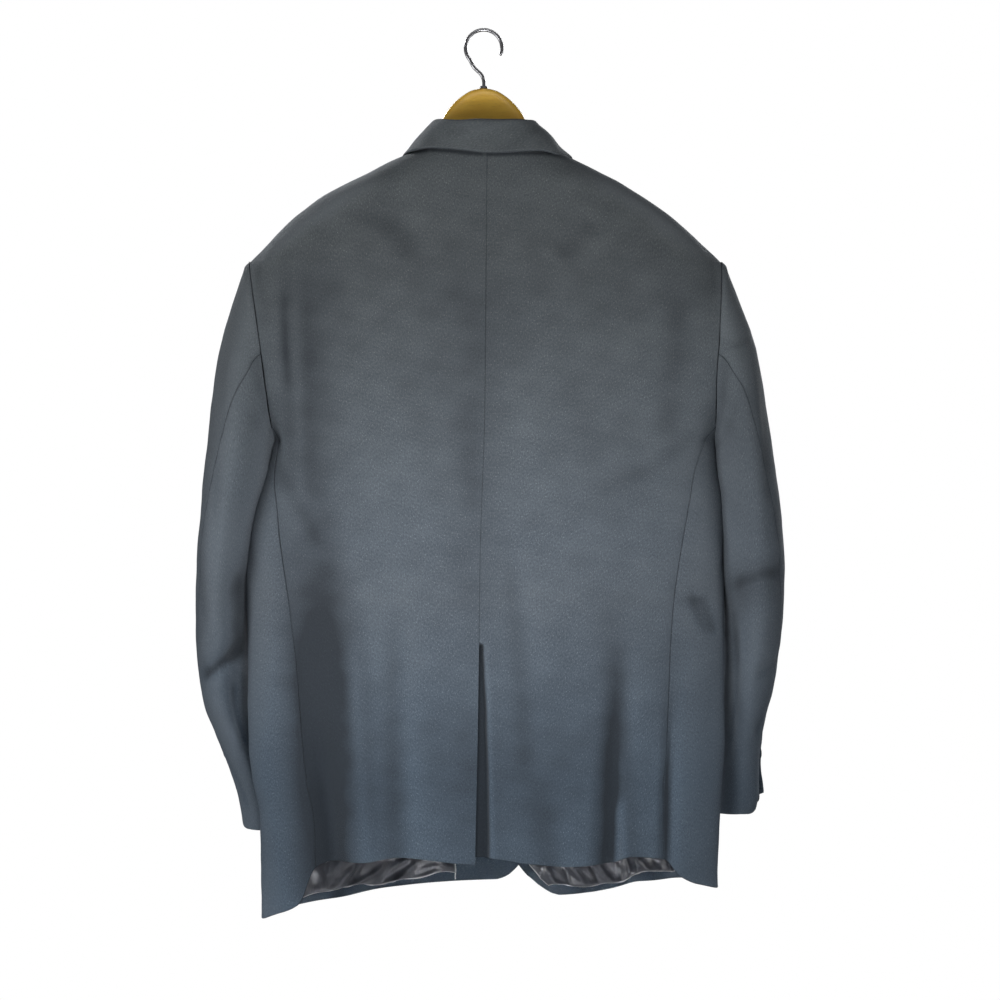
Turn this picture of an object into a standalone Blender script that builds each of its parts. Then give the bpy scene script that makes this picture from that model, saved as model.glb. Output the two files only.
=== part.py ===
"""A tailored sport coat on a wooden hanger, as closed solids.

Metres, +Z up. The origin is the inner top of the hanger's hook, where a rail holds it.
The coat's front faces -Y and its back +Y, so the wearer's left is +X.

The body is a stack of horizontal rings. A place on it is an angle, 0 at the centre of the
back, 90 at the side and 180 at the centre of the front, and a height. Each cut piece is a
range of angles and heights, given a wall's thickness.
"""

import bisect
import math
from typing import NamedTuple

import bmesh
import bpy
from mathutils import Vector

# ---------------------------------------------------------------- driving sizes
CLOTH = 0.0020
LINING = 0.0012
SEAM_GAP = 0.0003
HANGS_OFF_CENTRE = -0.0025

NECK_Z = -0.130
SHOULDER_Z = -0.2534
ARMPIT_Z = -0.4500
SIDE_SEAM_Z = -0.4350
HEM_STARTS_Z = -0.800
HEM_Z = -0.920
VENT_Z = -0.668

ARMHOLE_DEPTH_SHARE = 0.667
BACK_ROUNDNESS = 2.7
SIDE_DIP_ENDS_Z = -0.520

VENT_STEP = 0.0095           # how far the underlap lies inside the flap
VENT_TURN = 0.010            # the run in which it gets there
VENT_UNDERLAP = 0.030        # how far it reaches past the centre seam
CLOSING_STEP = 0.0046        # how far the right front lies inside the left one
CLOSING_LAP = 0.024          # how far outside the left front's edge the step starts
CLOSING_RUN = 0.018
CLOSING_TOP_Z = -0.385
CLOSING_FALL = 0.030

ANGLE_NUDGE = 0.4            # degrees and metres to either side, for a normal
HEIGHT_NUDGE = 0.003
HALVINGS = 30                # of a search between two limits
BACK_PAST_CENTRE = -40.0     # how far past the centre a back or a front may reach, in degrees
FRONT_PAST_CENTRE = 215.0

SHOULDER_ROWS = (-0.130, -0.139, -0.1478, -0.160, -0.174, -0.190, -0.207, -0.224, -0.240)
ARMHOLE_ROWS = (-0.2534, -0.262, -0.277, -0.300, -0.330, -0.360, -0.390, -0.415)
SKIRT_ROWS = (-0.435, -0.465, -0.500, -0.540, -0.585, -0.630, -0.664, -0.680, -0.700,
              -0.735, -0.775, -0.815, -0.855, -0.880, -0.895, -0.907, -0.920)
BODY_ROWS = SHOULDER_ROWS + ARMHOLE_ROWS + SKIRT_ROWS


class Curve:
    """A smooth curve through (place, value) points that never overshoots them."""

    def __init__(self, *points):
        points = sorted(points)
        self.at = [place for place, _ in points]
        self.value = [value for _, value in points]
        rises = [(v1 - v0) / (p1 - p0) for (p0, v0), (p1, v1) in zip(points, points[1:])]
        self.slope = [rises[0]]
        for before, after in zip(rises, rises[1:]):
            level = before * after <= 0
            self.slope.append(0.0 if level else 2 * before * after / (before + after))
        self.slope.append(rises[-1])

    def __call__(self, place):
        place = min(max(place, self.at[0]), self.at[-1])
        i = min(max(bisect.bisect_right(self.at, place) - 1, 0), len(self.at) - 2)
        span = self.at[i + 1] - self.at[i]
        t = (place - self.at[i]) / span
        return (
            (1 + 2 * t) * (1 - t) ** 2 * self.value[i]
            + t * (1 - t) ** 2 * span * self.slope[i]
            + t * t * (3 - 2 * t) * self.value[i + 1]
            + t * t * (t - 1) * span * self.slope[i + 1]
        )


def smoothstep(value):
    value = min(max(value, 0.0), 1.0)
    return value * value * (3 - 2 * value)


# ---------------------------------------------------------------- the body's rings
class Side(NamedTuple):
    """What differs between the wearer's left (+X) and right (-X)."""

    name: str
    sign: int
    shoulder: Curve      # half width on the shoulder's slope, by height
    width: Curve         # half width below the armpit, by height
    armhole: Curve       # how far out the armhole seam lies, by height
    back_seam: Curve     # angle of the seam from back to side panel, by height
    hem: Curve           # height of the hem, by angle
    front_edge: Curve    # how far past the centre, on its own side, the front ends, by height


FRONT_SEAM = Curve((-0.435, 104.2), (-0.500, 109), (-0.600, 113), (-0.950, 118))
BACK_DEPTH = Curve((-0.130, 0.050), (-0.180, 0.0625), (-0.2534, 0.071), (-0.350, 0.076),
                   (-0.450, 0.075), (-0.600, 0.073), (-0.750, 0.075), (-0.920, 0.080))
FRONT_DEPTH = Curve((-0.130, 0.046), (-0.180, 0.060), (-0.2534, 0.074), (-0.350, 0.084),
                    (-0.450, 0.086), (-0.600, 0.084), (-0.750, 0.085), (-0.920, 0.088))
FRONT_ROUNDNESS = Curve((-0.450, 2.7), (-0.600, 2.2))
CENTRE_SEAM = Curve((-0.130, -0.0015), (-0.405, 0.0007), (-0.580, 0.0060), (-0.670, 0.0071),
                    (-0.920, 0.0114))

# Where the right back turns in under the vent's flap, towards the wearer's left.
VENT_EDGE = Curve((-0.668, 0.0010), (-0.690, 0.0000), (-0.740, -0.0030), (-0.900, -0.0065))

LEFT = Side(
    "left", 1,
    shoulder=Curve((-0.130, 0.070), (-0.139, 0.0925), (-0.1478, 0.1130), (-0.1588, 0.1335),
                   (-0.1698, 0.1565), (-0.1808, 0.1765), (-0.1918, 0.1935), (-0.2138, 0.2211),
                   (-0.2358, 0.2420), (-0.2534, 0.2596)),
    width=Curve((-0.450, 0.2320), (-0.482, 0.2398), (-0.526, 0.2541), (-0.565, 0.2607),
                (-0.625, 0.2629), (-0.735, 0.2629), (-0.779, 0.2618), (-0.823, 0.2574),
                (-0.856, 0.2497), (-0.918, 0.2464)),
    armhole=Curve((-0.2534, 0.2596), (-0.339, 0.2455), (-0.450, 0.2320)),
    back_seam=Curve((-0.435, 75.8), (-0.477, 72), (-0.527, 58.5), (-0.590, 51.5),
                    (-0.640, 48), (-0.720, 44.5), (-0.830, 42.5), (-0.950, 42)),
    hem=Curve((0, -0.907), (15, -0.8996), (25, -0.905), (36, -0.906), (42, -0.912),
              (50, -0.952), (60, -0.962), (90, -0.974), (110, -0.971), (141, -0.960),
              (156, -0.952), (173, -0.946), (190, -0.9428)),
    front_edge=Curve((-0.130, 0.0660), (-0.139, 0.0680), (-0.180, 0.0596), (-0.300, 0.0345),
                     (-0.430, 0.0073), (-0.530, -0.0137), (-0.560, -0.0190), (-0.660, -0.022),
                     (-0.750, -0.034), (-0.830, -0.046), (-0.880, -0.049),
                     (-0.895, -0.046), (-0.907, -0.036), (-0.920, -0.008)),
)
RIGHT = Side(
    "right", -1,
    shoulder=Curve((-0.130, 0.068), (-0.139, 0.0900), (-0.1478, 0.1085), (-0.1588, 0.1290),
                   (-0.1698, 0.1512), (-0.1808, 0.1700), (-0.1918, 0.1865), (-0.2138, 0.2156),
                   (-0.2358, 0.2398), (-0.2534, 0.2580)),
    width=Curve((-0.450, 0.2510), (-0.482, 0.2530), (-0.520, 0.2596), (-0.560, 0.2618),
                (-0.779, 0.2618), (-0.823, 0.2585), (-0.856, 0.2574), (-0.918, 0.2550)),
    armhole=Curve((-0.2534, 0.2580), (-0.339, 0.2530), (-0.390, 0.2500), (-0.450, 0.2510)),
    back_seam=Curve((-0.435, 75.8), (-0.4525, 68), (-0.480, 60), (-0.529, 52), (-0.595, 46.7),
                    (-0.643, 44.6), (-0.716, 43.3), (-0.826, 42), (-0.950, 43)),
    hem=Curve((0, -0.899), (5, -0.905), (13, -0.909), (25, -0.906), (31, -0.899),
              (43, -0.903), (50, -0.921), (60, -0.931), (90, -0.940), (120, -0.937),
              (139, -0.943), (149, -0.953), (164, -0.961), (185, -0.961)),
    front_edge=Curve((-0.130, 0.0640), (-0.139, 0.0670), (-0.180, 0.0596), (-0.300, 0.0345),
                     (-0.430, 0.0073), (-0.530, -0.0137), (-0.560, -0.0190), (-0.660, -0.016),
                     (-0.750, -0.004), (-0.830, 0.012), (-0.880, 0.024),
                     (-0.895, 0.036), (-0.907, 0.050), (-0.920, 0.078)),
)
SIDES = (LEFT, RIGHT)


class Fold(NamedTuple):
    """A soft trough in the body, which runs down from its top and opens towards the hem."""

    side: Side
    face: str
    top_z: float
    full_z: float
    top_x: float
    hem_x: float
    width: float
    depth: float


FOLDS = (
    Fold(LEFT, "back", -0.700, -0.860, 0.186, 0.163, 0.017, 0.022),
    Fold(LEFT, "back", -0.760, -0.900, 0.105, 0.098, 0.022, 0.006),
    Fold(RIGHT, "back", -0.640, -0.850, 0.146, 0.132, 0.014, 0.014),
    Fold(RIGHT, "back", -0.700, -0.860, 0.200, 0.194, 0.008, 0.007),
    Fold(RIGHT, "back", -0.780, -0.900, 0.060, 0.070, 0.020, 0.005),
    Fold(LEFT, "front", -0.720, -0.900, 0.150, 0.165, 0.020, 0.010),
    Fold(RIGHT, "front", -0.720, -0.900, 0.180, 0.188, 0.018, 0.010),
    Fold(RIGHT, "front", -0.780, -0.900, 0.110, 0.105, 0.020, 0.006),
)


def armhole_share(z):
    """The armhole's half depth at a height, as a share of the ring's depth: an ellipse."""
    middle = (SHOULDER_Z + ARMPIT_Z) / 2
    off_middle = (z - middle) / (SHOULDER_Z - middle)
    return ARMHOLE_DEPTH_SHARE * math.sqrt(max(0.0, 1 - off_middle * off_middle))


def armhole_angle(z):
    return math.degrees(math.acos(armhole_share(z) ** (BACK_ROUNDNESS / 2)))


def half_width(side, z):
    if z >= SHOULDER_Z:
        return side.shoulder(z)
    if z > ARMPIT_Z:
        inside = 1 - armhole_share(z) ** BACK_ROUNDNESS
        return side.armhole(z) / inside ** (1 / BACK_ROUNDNESS)
    return side.width(z)


def ring_point(side, angle, z):
    """The plain ring: x is counted from the centre towards the side's own arm."""
    turn = math.radians(angle)
    back = angle <= 90
    roundness = BACK_ROUNDNESS if back else FRONT_ROUNDNESS(z)
    depth = BACK_DEPTH(z) if back else -FRONT_DEPTH(z)
    out = math.copysign(abs(math.sin(turn)) ** (2 / roundness), math.sin(turn))
    return half_width(side, z) * out, depth * abs(math.cos(turn)) ** (2 / roundness)


def fold_depth(side, angle, x, z):
    face = "back" if angle <= 90 else "front"
    total = 0.0
    for fold in FOLDS:
        if fold.side is side and fold.face == face:
            run = min(max((fold.top_z - z) / (fold.top_z - HEM_Z), 0.0), 1.0)
            centre = fold.top_x + (fold.hem_x - fold.top_x) * run
            opening = smoothstep((fold.top_z - z) / (fold.top_z - fold.full_z))
            total += fold.depth * opening * math.exp(-(((x - centre) / fold.width) ** 2))
    return total


def vent_step(x, z):
    """How far the right back's underlap lies inside the left back's flap."""
    turned = smoothstep((x - VENT_EDGE(z)) / VENT_TURN)
    return VENT_STEP * turned * smoothstep((VENT_Z - z) / VENT_TURN)


def closing_step(x, z):
    """How far the right front lies inside the left one, which buttons over it."""
    past_edge = x - (LEFT.front_edge(z) - CLOSING_LAP)
    below_top = smoothstep((CLOSING_TOP_Z - z) / CLOSING_FALL)
    return CLOSING_STEP * smoothstep(past_edge / CLOSING_RUN) * below_top


def no_step(x, z):
    return 0.0


def draped_z(side, angle, z):
    """The cut height of a row, let down to the uneven hem and up to the armhole's floor."""
    if z < HEM_STARTS_Z:
        share = (HEM_STARTS_Z - z) / (HEM_STARTS_Z - HEM_Z)
        return HEM_STARTS_Z + share * (side.hem(angle) - HEM_STARTS_Z)
    return z


def coat_point(side, angle, cut_z, step=no_step):
    """A place on the coat's outer face. The step is how far a layer lies inside it."""
    z = draped_z(side, angle, cut_z)
    x, y = ring_point(side, angle, z)
    inward = fold_depth(side, angle, x, z) + step(side.sign * x, cut_z)
    y += -inward if angle <= 90 else inward
    return Vector((side.sign * x, y, z))


def coat_normal(side, angle, z, step=no_step):
    before, after = (coat_point(side, angle + turn, z, step) for turn in (-ANGLE_NUDGE, ANGLE_NUDGE))
    above, below = (coat_point(side, angle, z + rise, step) for rise in (HEIGHT_NUDGE, -HEIGHT_NUDGE))
    return ((after - before).cross(below - above) * side.sign).normalized()


def angle_at(side, x, z, step=no_step, low=BACK_PAST_CENTRE, high=90.0):
    """The angle at which a row passes the distance x from the centre, on the side's own arm."""
    for _ in range(HALVINGS):
        middle = (low + high) / 2
        reached = side.sign * coat_point(side, middle, z, step).x > x
        if reached == (high <= 90):
            high = middle
        else:
            low = middle
    return (low + high) / 2


# ---------------------------------------------------------------- solids and finishes
def finish(name, colour, roughness, metallic=0.0):
    material = bpy.data.materials.new(name)
    material.use_nodes = True
    shader = material.node_tree.nodes["Principled BSDF"]
    shader.inputs["Base Color"].default_value = (*colour, 1.0)
    shader.inputs["Roughness"].default_value = roughness
    shader.inputs["Metallic"].default_value = metallic
    material.diffuse_color = (*colour, 1.0)
    return material


def solid(name, bm, material, parent):
    bmesh.ops.recalc_face_normals(bm, faces=bm.faces)
    mesh = bpy.data.meshes.new(name)
    bm.to_mesh(mesh)
    bm.free()
    mesh.shade_smooth()
    mesh.set_sharp_from_angle(angle=math.radians(50))
    made = bpy.data.objects.new(name, mesh)
    made.data.materials.append(material)
    made.parent = parent
    bpy.context.scene.collection.objects.link(made)
    return made


def grid_faces(bm, rows, closed=False):
    """Quads between rows of vertices. Closed rows come round to their start."""
    for upper, lower in zip(rows, rows[1:]):
        count = len(upper)
        for i in range(count if closed else count - 1):
            j = (i + 1) % count
            bm.faces.new((upper[i], upper[j], lower[j], lower[i]))


def wall(name, outer, inner, material, parent):
    """A closed wall between two grids of points that match row by row."""
    bm = bmesh.new()
    front = [[bm.verts.new(point) for point in row] for row in outer]
    back = [[bm.verts.new(point) for point in row] for row in inner]
    grid_faces(bm, front)
    grid_faces(bm, back)
    grid_faces(bm, [front[0], back[0]])
    grid_faces(bm, [front[-1], back[-1]])
    for column in (0, -1):
        grid_faces(bm, [[row[column] for row in front], [row[column] for row in back]])
    return solid(name, bm, material, parent)


def loft(name, rings, material, parent):
    """A closed solid through rings of points, with flat ends."""
    bm = bmesh.new()
    rows = [[bm.verts.new(point) for point in ring] for ring in rings]
    grid_faces(bm, rows, closed=True)
    bm.faces.new(rows[0])
    bm.faces.new(rows[-1])
    return solid(name, bm, material, parent)


def hollow_rows(points, normals, out, thickness):
    """The two faces of a wall whose outer face stands out from these points."""
    outer = [[p + n * out for p, n in zip(*pair)] for pair in zip(points, normals)]
    inner = [[p + n * (out - thickness) for p, n in zip(*pair)] for pair in zip(points, normals)]
    return outer, inner


# ---------------------------------------------------------------- panels of the body
def spaced_angles(side, z, start, end, count, step=no_step, trim=(0.0, 0.0)):
    """Angles at even distances along a row, its ends shortened by the trims."""
    samples = 24
    angles = [start + (end - start) * i / samples for i in range(samples + 1)]
    places = [coat_point(side, angle, z, step) for angle in angles]
    run = [0.0]
    for before, after in zip(places, places[1:]):
        run.append(run[-1] + (after - before).length)
    spaced = []
    for i in range(count + 1):
        target = trim[0] + (run[-1] - trim[0] - trim[1]) * i / count
        j = min(max(bisect.bisect_right(run, target) - 1, 0), samples - 1)
        share = (target - run[j]) / (run[j + 1] - run[j])
        spaced.append(angles[j] + (angles[j + 1] - angles[j]) * share)
    return spaced


def panel(name, side, rows, angles_of, cloth, parent, step=no_step, out=0.0, thickness=CLOTH,
          point=coat_point):
    """A wall over the rows. angles_of gives the angles of a row's columns."""
    points, normals = [], []
    for z in rows:
        angles = angles_of(z)
        points.append([point(side, angle, z, step) for angle in angles])
        normals.append([coat_normal(side, angle, z, step) for angle in angles])
    outer, inner = hollow_rows(points, normals, out, thickness)
    return wall(name, outer, inner, cloth, parent)


def outer_edge(side, z, front):
    """Where a back or front ends: at the shoulder, the armhole or the side seam."""
    if z >= SHOULDER_Z:
        return 90.0
    if z > SIDE_SEAM_Z:
        return 180 - armhole_angle(z) if front else armhole_angle(z)
    return FRONT_SEAM(z) if front else side.back_seam(z)


def edge_trim(z):
    """Sewn edges stop half a seam gap short. The armhole's gap is taken from the sleeve."""
    return 0.0 if SHOULDER_Z > z > SIDE_SEAM_Z else SEAM_GAP / 2


BACK_COLUMNS = 13
FRONT_COLUMNS = 11
SIDE_COLUMNS = 6
VENT_TOP_FALL = 0.020        # the rows over which the right back's first columns change over
ABOVE_VENT = (0.0, 0.004, 0.008, 0.012)   # the first columns' places from the centre seam
AT_VENT_TOP = (0.003, 0.006, 0.009, 0.013)
ROUND_VENT_TURN = (-0.008, -0.004, 0.002)  # and, lower down, from the turn under the flap
LINING_ROWS = SKIRT_ROWS[SKIRT_ROWS.index(-0.815):SKIRT_ROWS.index(-0.920)]
LINING_FIRST_COLUMN = {"left": 3, "right": 1}


def left_back(cloth, parent):
    def angles_of(z):
        start = angle_at(LEFT, CENTRE_SEAM(z), z)
        return spaced_angles(LEFT, z, start, outer_edge(LEFT, z, False), BACK_COLUMNS,
                             trim=(SEAM_GAP / 2, edge_trim(z)))
    return panel("back_left", LEFT, BODY_ROWS, angles_of, cloth, parent)


def right_back(cloth, parent):
    """Its innermost columns turn in below the vent's top and run on under the flap."""
    def angles_of(z):
        seam = -CENTRE_SEAM(z)
        if z > VENT_Z:
            starts = [seam + SEAM_GAP / 2 + spread for spread in ABOVE_VENT]
        elif z > VENT_Z - VENT_TOP_FALL:
            starts = [seam + spread for spread in AT_VENT_TOP]
        else:
            turns = [-VENT_EDGE(z) + spread for spread in ROUND_VENT_TURN]
            starts = [seam - VENT_UNDERLAP] + turns
        angles = [angle_at(RIGHT, x, z, vent_step) for x in starts]
        rest = spaced_angles(RIGHT, z, angles[-1], outer_edge(RIGHT, z, False),
                             BACK_COLUMNS - 1, vent_step, trim=(0.0, edge_trim(z)))
        return angles[:-1] + rest
    return panel("back_right", RIGHT, BODY_ROWS, angles_of, cloth, parent, vent_step)


def armhole_floor(angle):
    """The height of the armhole's lower curve at an angle."""
    share = abs(math.cos(math.radians(angle))) ** (2 / BACK_ROUNDNESS) / ARMHOLE_DEPTH_SHARE
    middle = (SHOULDER_Z + ARMPIT_Z) / 2
    return middle - (SHOULDER_Z - middle) * math.sqrt(max(0.0, 1 - share * share))


def side_point(side, angle, cut_z, step=no_step):
    """The side panel's top dips between its seams to the armhole's floor."""
    back, ahead = side.back_seam(cut_z), FRONT_SEAM(cut_z)
    top = armhole_angle(SIDE_SEAM_Z)
    top_angle = top + (180 - 2 * top) * (angle - back) / (ahead - back)
    fade = smoothstep((cut_z - SIDE_DIP_ENDS_Z) / (SIDE_SEAM_Z - SIDE_DIP_ENDS_Z))
    return coat_point(side, angle, cut_z + (armhole_floor(top_angle) - SIDE_SEAM_Z) * fade, step)


def side_panel(side, cloth, parent):
    def angles_of(z):
        return spaced_angles(side, z, side.back_seam(z), FRONT_SEAM(z), SIDE_COLUMNS,
                             trim=(SEAM_GAP / 2, SEAM_GAP / 2))
    return panel("side_panel_" + side.name, side, SKIRT_ROWS, angles_of, cloth, parent,
                 point=side_point)


def front_step(side):
    return closing_step if side is RIGHT else no_step


def front_angles(side, z):
    step = front_step(side)
    edge = angle_at(side, side.front_edge(z), z, step, low=90.0, high=FRONT_PAST_CENTRE)
    return spaced_angles(side, z, edge, outer_edge(side, z, True), FRONT_COLUMNS, step,
                         trim=(0.0, edge_trim(z)))


def front(side, cloth, parent):
    return panel("front_" + side.name, side, BODY_ROWS, lambda z: front_angles(side, z), cloth,
                 parent, front_step(side))


def lining(side, satin, parent):
    """The satin inside the front, where it shows below the back's hem."""
    first = LINING_FIRST_COLUMN[side.name]
    return panel("lining_" + side.name, side, LINING_ROWS,
                 lambda z: front_angles(side, z)[first:], satin, parent, front_step(side),
                 out=-CLOTH - SEAM_GAP, thickness=LINING)


# ---------------------------------------------------------------- collar and lapels
class CollarPlace(NamedTuple):
    """One section through the collar: where its stand starts, it folds, and its fall ends."""

    base: tuple
    fold: tuple
    edge: tuple


COLLAR_PLACES = (
    CollarPlace((0.0000, 0.0490, -0.1290), (0.0000, 0.0470, -0.1070), (0.0000, 0.0562, -0.1400)),
    CollarPlace((0.0260, 0.0475, -0.1290), (0.0240, 0.0450, -0.1066), (0.0335, 0.0550, -0.1400)),
    CollarPlace((0.0470, 0.0400, -0.1290), (0.0430, 0.0375, -0.1050), (0.0600, 0.0490, -0.1395)),
    CollarPlace((0.0610, 0.0240, -0.1290), (0.0555, 0.0215, -0.1035), (0.0815, 0.0345, -0.1368)),
    CollarPlace((0.0665, 0.0040, -0.1288), (0.0600, 0.0010, -0.1065), (0.0915, 0.0040, -0.1355)),
    CollarPlace((0.0620, -0.0180, -0.1283), (0.0600, -0.0200, -0.1160), (0.0960, -0.0270, -0.1400)),
    CollarPlace((0.0575, -0.0340, -0.1370), (0.0570, -0.0380, -0.1310), (0.0980, -0.0480, -0.1570)),
    CollarPlace((0.0530, -0.0450, -0.1500), (0.0535, -0.0500, -0.1490), (0.0990, -0.0580, -0.1730)),
)
COLLAR_BETWEEN = 2
FOLD_RADIUS = 0.0030
FALL_BULGE = 0.0020
RIGHT_FOLD_SHARE = 0.945     # the right side of the collar stands nearer the neck


def collar_section(place, sign):
    """A closed outline round the folded sheet, from the stand's foot over to the fall's."""
    base, fold, edge = (Vector(point) for point in place)
    if sign < 0:
        fold.x *= RIGHT_FOLD_SHARE
    across = Vector((edge.x - base.x, edge.y - base.y, 0.0)).normalized()
    up = Vector((0.0, 0.0, 1.0))
    bulge = (edge - fold).cross(across.cross(up)).normalized() * FALL_BULGE
    if bulge.z < 0:
        bulge.negate()
    line = [base, base.lerp(fold, 0.6), fold - across * FOLD_RADIUS,
            fold + up * FOLD_RADIUS, fold + across * FOLD_RADIUS,
            fold.lerp(edge, 0.5) + bulge, edge]
    side = across.cross(up)
    outer, inner = [], []
    for i, point in enumerate(line):
        along = line[min(i + 1, len(line) - 1)] - line[max(i - 1, 0)]
        normal = side.cross(along).normalized()
        if i < 3 and normal.dot(across) > 0 or i >= 3 and normal.z < 0:
            normal.negate()
        outer.append(point + normal * CLOTH / 2)
        inner.append(point - normal * CLOTH / 2)
    return [Vector((p.x * sign, p.y, p.z)) for p in outer + inner[::-1]]


def between_places(before, after, share):
    return CollarPlace(*(tuple(Vector(a).lerp(Vector(b), share)) for a, b in zip(before, after)))


def collar(cloth, parent):
    """Swept from the wearer's left end round the back to the right end."""
    places = []
    for before, after in zip(COLLAR_PLACES, COLLAR_PLACES[1:]):
        places += [between_places(before, after, i / COLLAR_BETWEEN) for i in range(COLLAR_BETWEEN)]
    places.append(COLLAR_PLACES[-1])
    rings = [collar_section(place, 1) for place in places[::-1]]
    rings += [collar_section(place, -1) for place in places[1:]]
    return loft("collar", rings, cloth, parent)


class LapelRow(NamedTuple):
    """A line across the lapel, from the roll to its free edge."""

    roll_x: float
    roll_z: float
    edge_x: float
    edge_z: float


LAPEL_ROWS = (
    LapelRow(0.0596, -0.180, 0.1300, -0.200),
    LapelRow(0.0558, -0.198, 0.1290, -0.213),
    LapelRow(0.0470, -0.240, 0.1180, -0.258),
    LapelRow(0.0370, -0.288, 0.1020, -0.305),
    LapelRow(0.0270, -0.336, 0.0830, -0.350),
    LapelRow(0.0171, -0.383, 0.0630, -0.395),
    LapelRow(0.0078, -0.429, 0.0420, -0.438),
)
LAPEL_BETWEEN = 2
LAPEL_COLUMNS = 7
PATCH_SEAT = 2 * SEAM_GAP
LAPEL_SEAT = 3 * SEAM_GAP
LAPEL_ROLL_LIFT = 0.0028
LAPEL_ENDS = {
    "left": (LapelRow(-0.0015, -0.474, 0.0220, -0.480), LapelRow(-0.0105, -0.517, 0.0030, -0.520),
             LapelRow(-0.0165, -0.545, -0.0120, -0.546)),
    "right": (LapelRow(0.0070, -0.472, 0.0200, -0.477), LapelRow(0.0105, -0.490, 0.0140, -0.492)),
}


def between_rows(rows, parts):
    """The rows with evenly placed ones between them."""
    made = []
    for before, after in zip(rows, rows[1:]):
        for i in range(parts):
            made.append(LapelRow(*(a + (b - a) * i / parts for a, b in zip(before, after))))
    return made + [rows[-1]]


def on_front(side, rows, columns, corners_of, name, cloth, parent, seat=PATCH_SEAT, lift=0.0):
    """A wall that lies on a front. corners_of gives a row's two ends, as (x, z) each.

    The seat is its height over the front, and the lift how much higher its inner edge stands.
    """
    step = front_step(side)
    points, normals = [], []
    for row in rows:
        (inner_x, inner_z), (outer_x, outer_z) = corners_of(row)
        points.append([])
        normals.append([])
        for i in range(columns + 1):
            x = inner_x + (outer_x - inner_x) * i / columns
            z = inner_z + (outer_z - inner_z) * i / columns
            angle = angle_at(side, x, z, step, low=90.0, high=FRONT_PAST_CENTRE)
            normal = coat_normal(side, angle, z, step)
            rise = lift * (1 - i / columns) ** 2
            points[-1].append(coat_point(side, angle, z, step) + normal * rise)
            normals[-1].append(normal)
    outer, inner = hollow_rows(points, normals, CLOTH + seat, CLOTH)
    return wall(name, outer, inner, cloth, parent)


def lapel(side, cloth, parent):
    return on_front(side, between_rows(LAPEL_ROWS + LAPEL_ENDS[side.name], LAPEL_BETWEEN),
                    LAPEL_COLUMNS,
                    lambda row: ((row.roll_x, row.roll_z), (row.edge_x, row.edge_z)),
                    "lapel_" + side.name, cloth, parent, LAPEL_SEAT, LAPEL_ROLL_LIFT)


# ---------------------------------------------------------------- sleeves
class SleeveRing(NamedTuple):
    """A ring through the sleeve: its outer and inner limit, and its depth."""

    outer_x: float
    outer_z: float
    inner_x: float
    inner_z: float
    middle_y: float
    back: float
    front: float


SLEEVE_RINGS = {
    "left": (
        SleeveRing(0.2684, -0.2688, 0.2334, -0.4522, -0.001, 0.0570, 0.0640),
        SleeveRing(0.2805, -0.3062, 0.2348, -0.4545, -0.003, 0.0660, 0.0710),
        SleeveRing(0.2915, -0.3458, 0.2368, -0.4590, -0.005, 0.0730, 0.0760),
        SleeveRing(0.3010, -0.4008, 0.2400, -0.4690, -0.006, 0.0800, 0.0790),
        SleeveRing(0.3060, -0.4448, 0.2440, -0.4880, -0.008, 0.0840, 0.0820),
        SleeveRing(0.3130, -0.5108, 0.2545, -0.5220, -0.010, 0.0840, 0.0830),
        SleeveRing(0.3185, -0.5750, 0.2645, -0.5780, -0.016, 0.0820, 0.0810),
        SleeveRing(0.3210, -0.6300, 0.2665, -0.6300, -0.026, 0.0790, 0.0790),
        SleeveRing(0.3210, -0.6850, 0.2660, -0.6850, -0.040, 0.0750, 0.0750),
        SleeveRing(0.3165, -0.7380, 0.2640, -0.7380, -0.056, 0.0700, 0.0700),
        SleeveRing(0.3045, -0.7770, 0.2540, -0.7770, -0.071, 0.0660, 0.0660),
        SleeveRing(0.2895, -0.8188, 0.2400, -0.8188, -0.087, 0.0620, 0.0620),
        SleeveRing(0.2800, -0.8550, 0.2300, -0.8550, -0.099, 0.0600, 0.0600),
        SleeveRing(0.2765, -0.8850, 0.2265, -0.8850, -0.106, 0.0590, 0.0590),
    ),
    "right": (
        SleeveRing(0.2673, -0.2688, 0.2522, -0.4522, -0.001, 0.0570, 0.0640),
        SleeveRing(0.2825, -0.3062, 0.2534, -0.4545, -0.003, 0.0660, 0.0710),
        SleeveRing(0.2965, -0.3458, 0.2550, -0.4590, -0.005, 0.0730, 0.0760),
        SleeveRing(0.3055, -0.4008, 0.2565, -0.4690, -0.006, 0.0800, 0.0790),
        SleeveRing(0.3125, -0.4448, 0.2580, -0.4880, -0.008, 0.0840, 0.0820),
        SleeveRing(0.3230, -0.5108, 0.2614, -0.5220, -0.010, 0.0840, 0.0830),
        SleeveRing(0.3285, -0.5750, 0.2634, -0.5780, -0.016, 0.0820, 0.0810),
        SleeveRing(0.3290, -0.6300, 0.2636, -0.6300, -0.026, 0.0790, 0.0790),
        SleeveRing(0.3258, -0.6850, 0.2640, -0.6850, -0.038, 0.0750, 0.0750),
        SleeveRing(0.3170, -0.7380, 0.2620, -0.7380, -0.052, 0.0700, 0.0700),
        SleeveRing(0.3090, -0.7770, 0.2590, -0.7770, -0.064, 0.0660, 0.0660),
        SleeveRing(0.3080, -0.8188, 0.2580, -0.8188, -0.077, 0.0620, 0.0620),
        SleeveRing(0.3085, -0.8500, 0.2585, -0.8500, -0.085, 0.0600, 0.0600),
        SleeveRing(0.3060, -0.8685, 0.2570, -0.8685, -0.090, 0.0590, 0.0590),
    ),
}
BACK_SLEEVE_SEAM = Curve((-0.870, 97), (-0.790, 86), (-0.700, 62), (-0.500, 30), (-0.427, 13),
                         (-0.363, -2), (-0.260, -8))
FRONT_SLEEVE_SEAM = 202
TOP_SLEEVE_COLUMNS = 9
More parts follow.
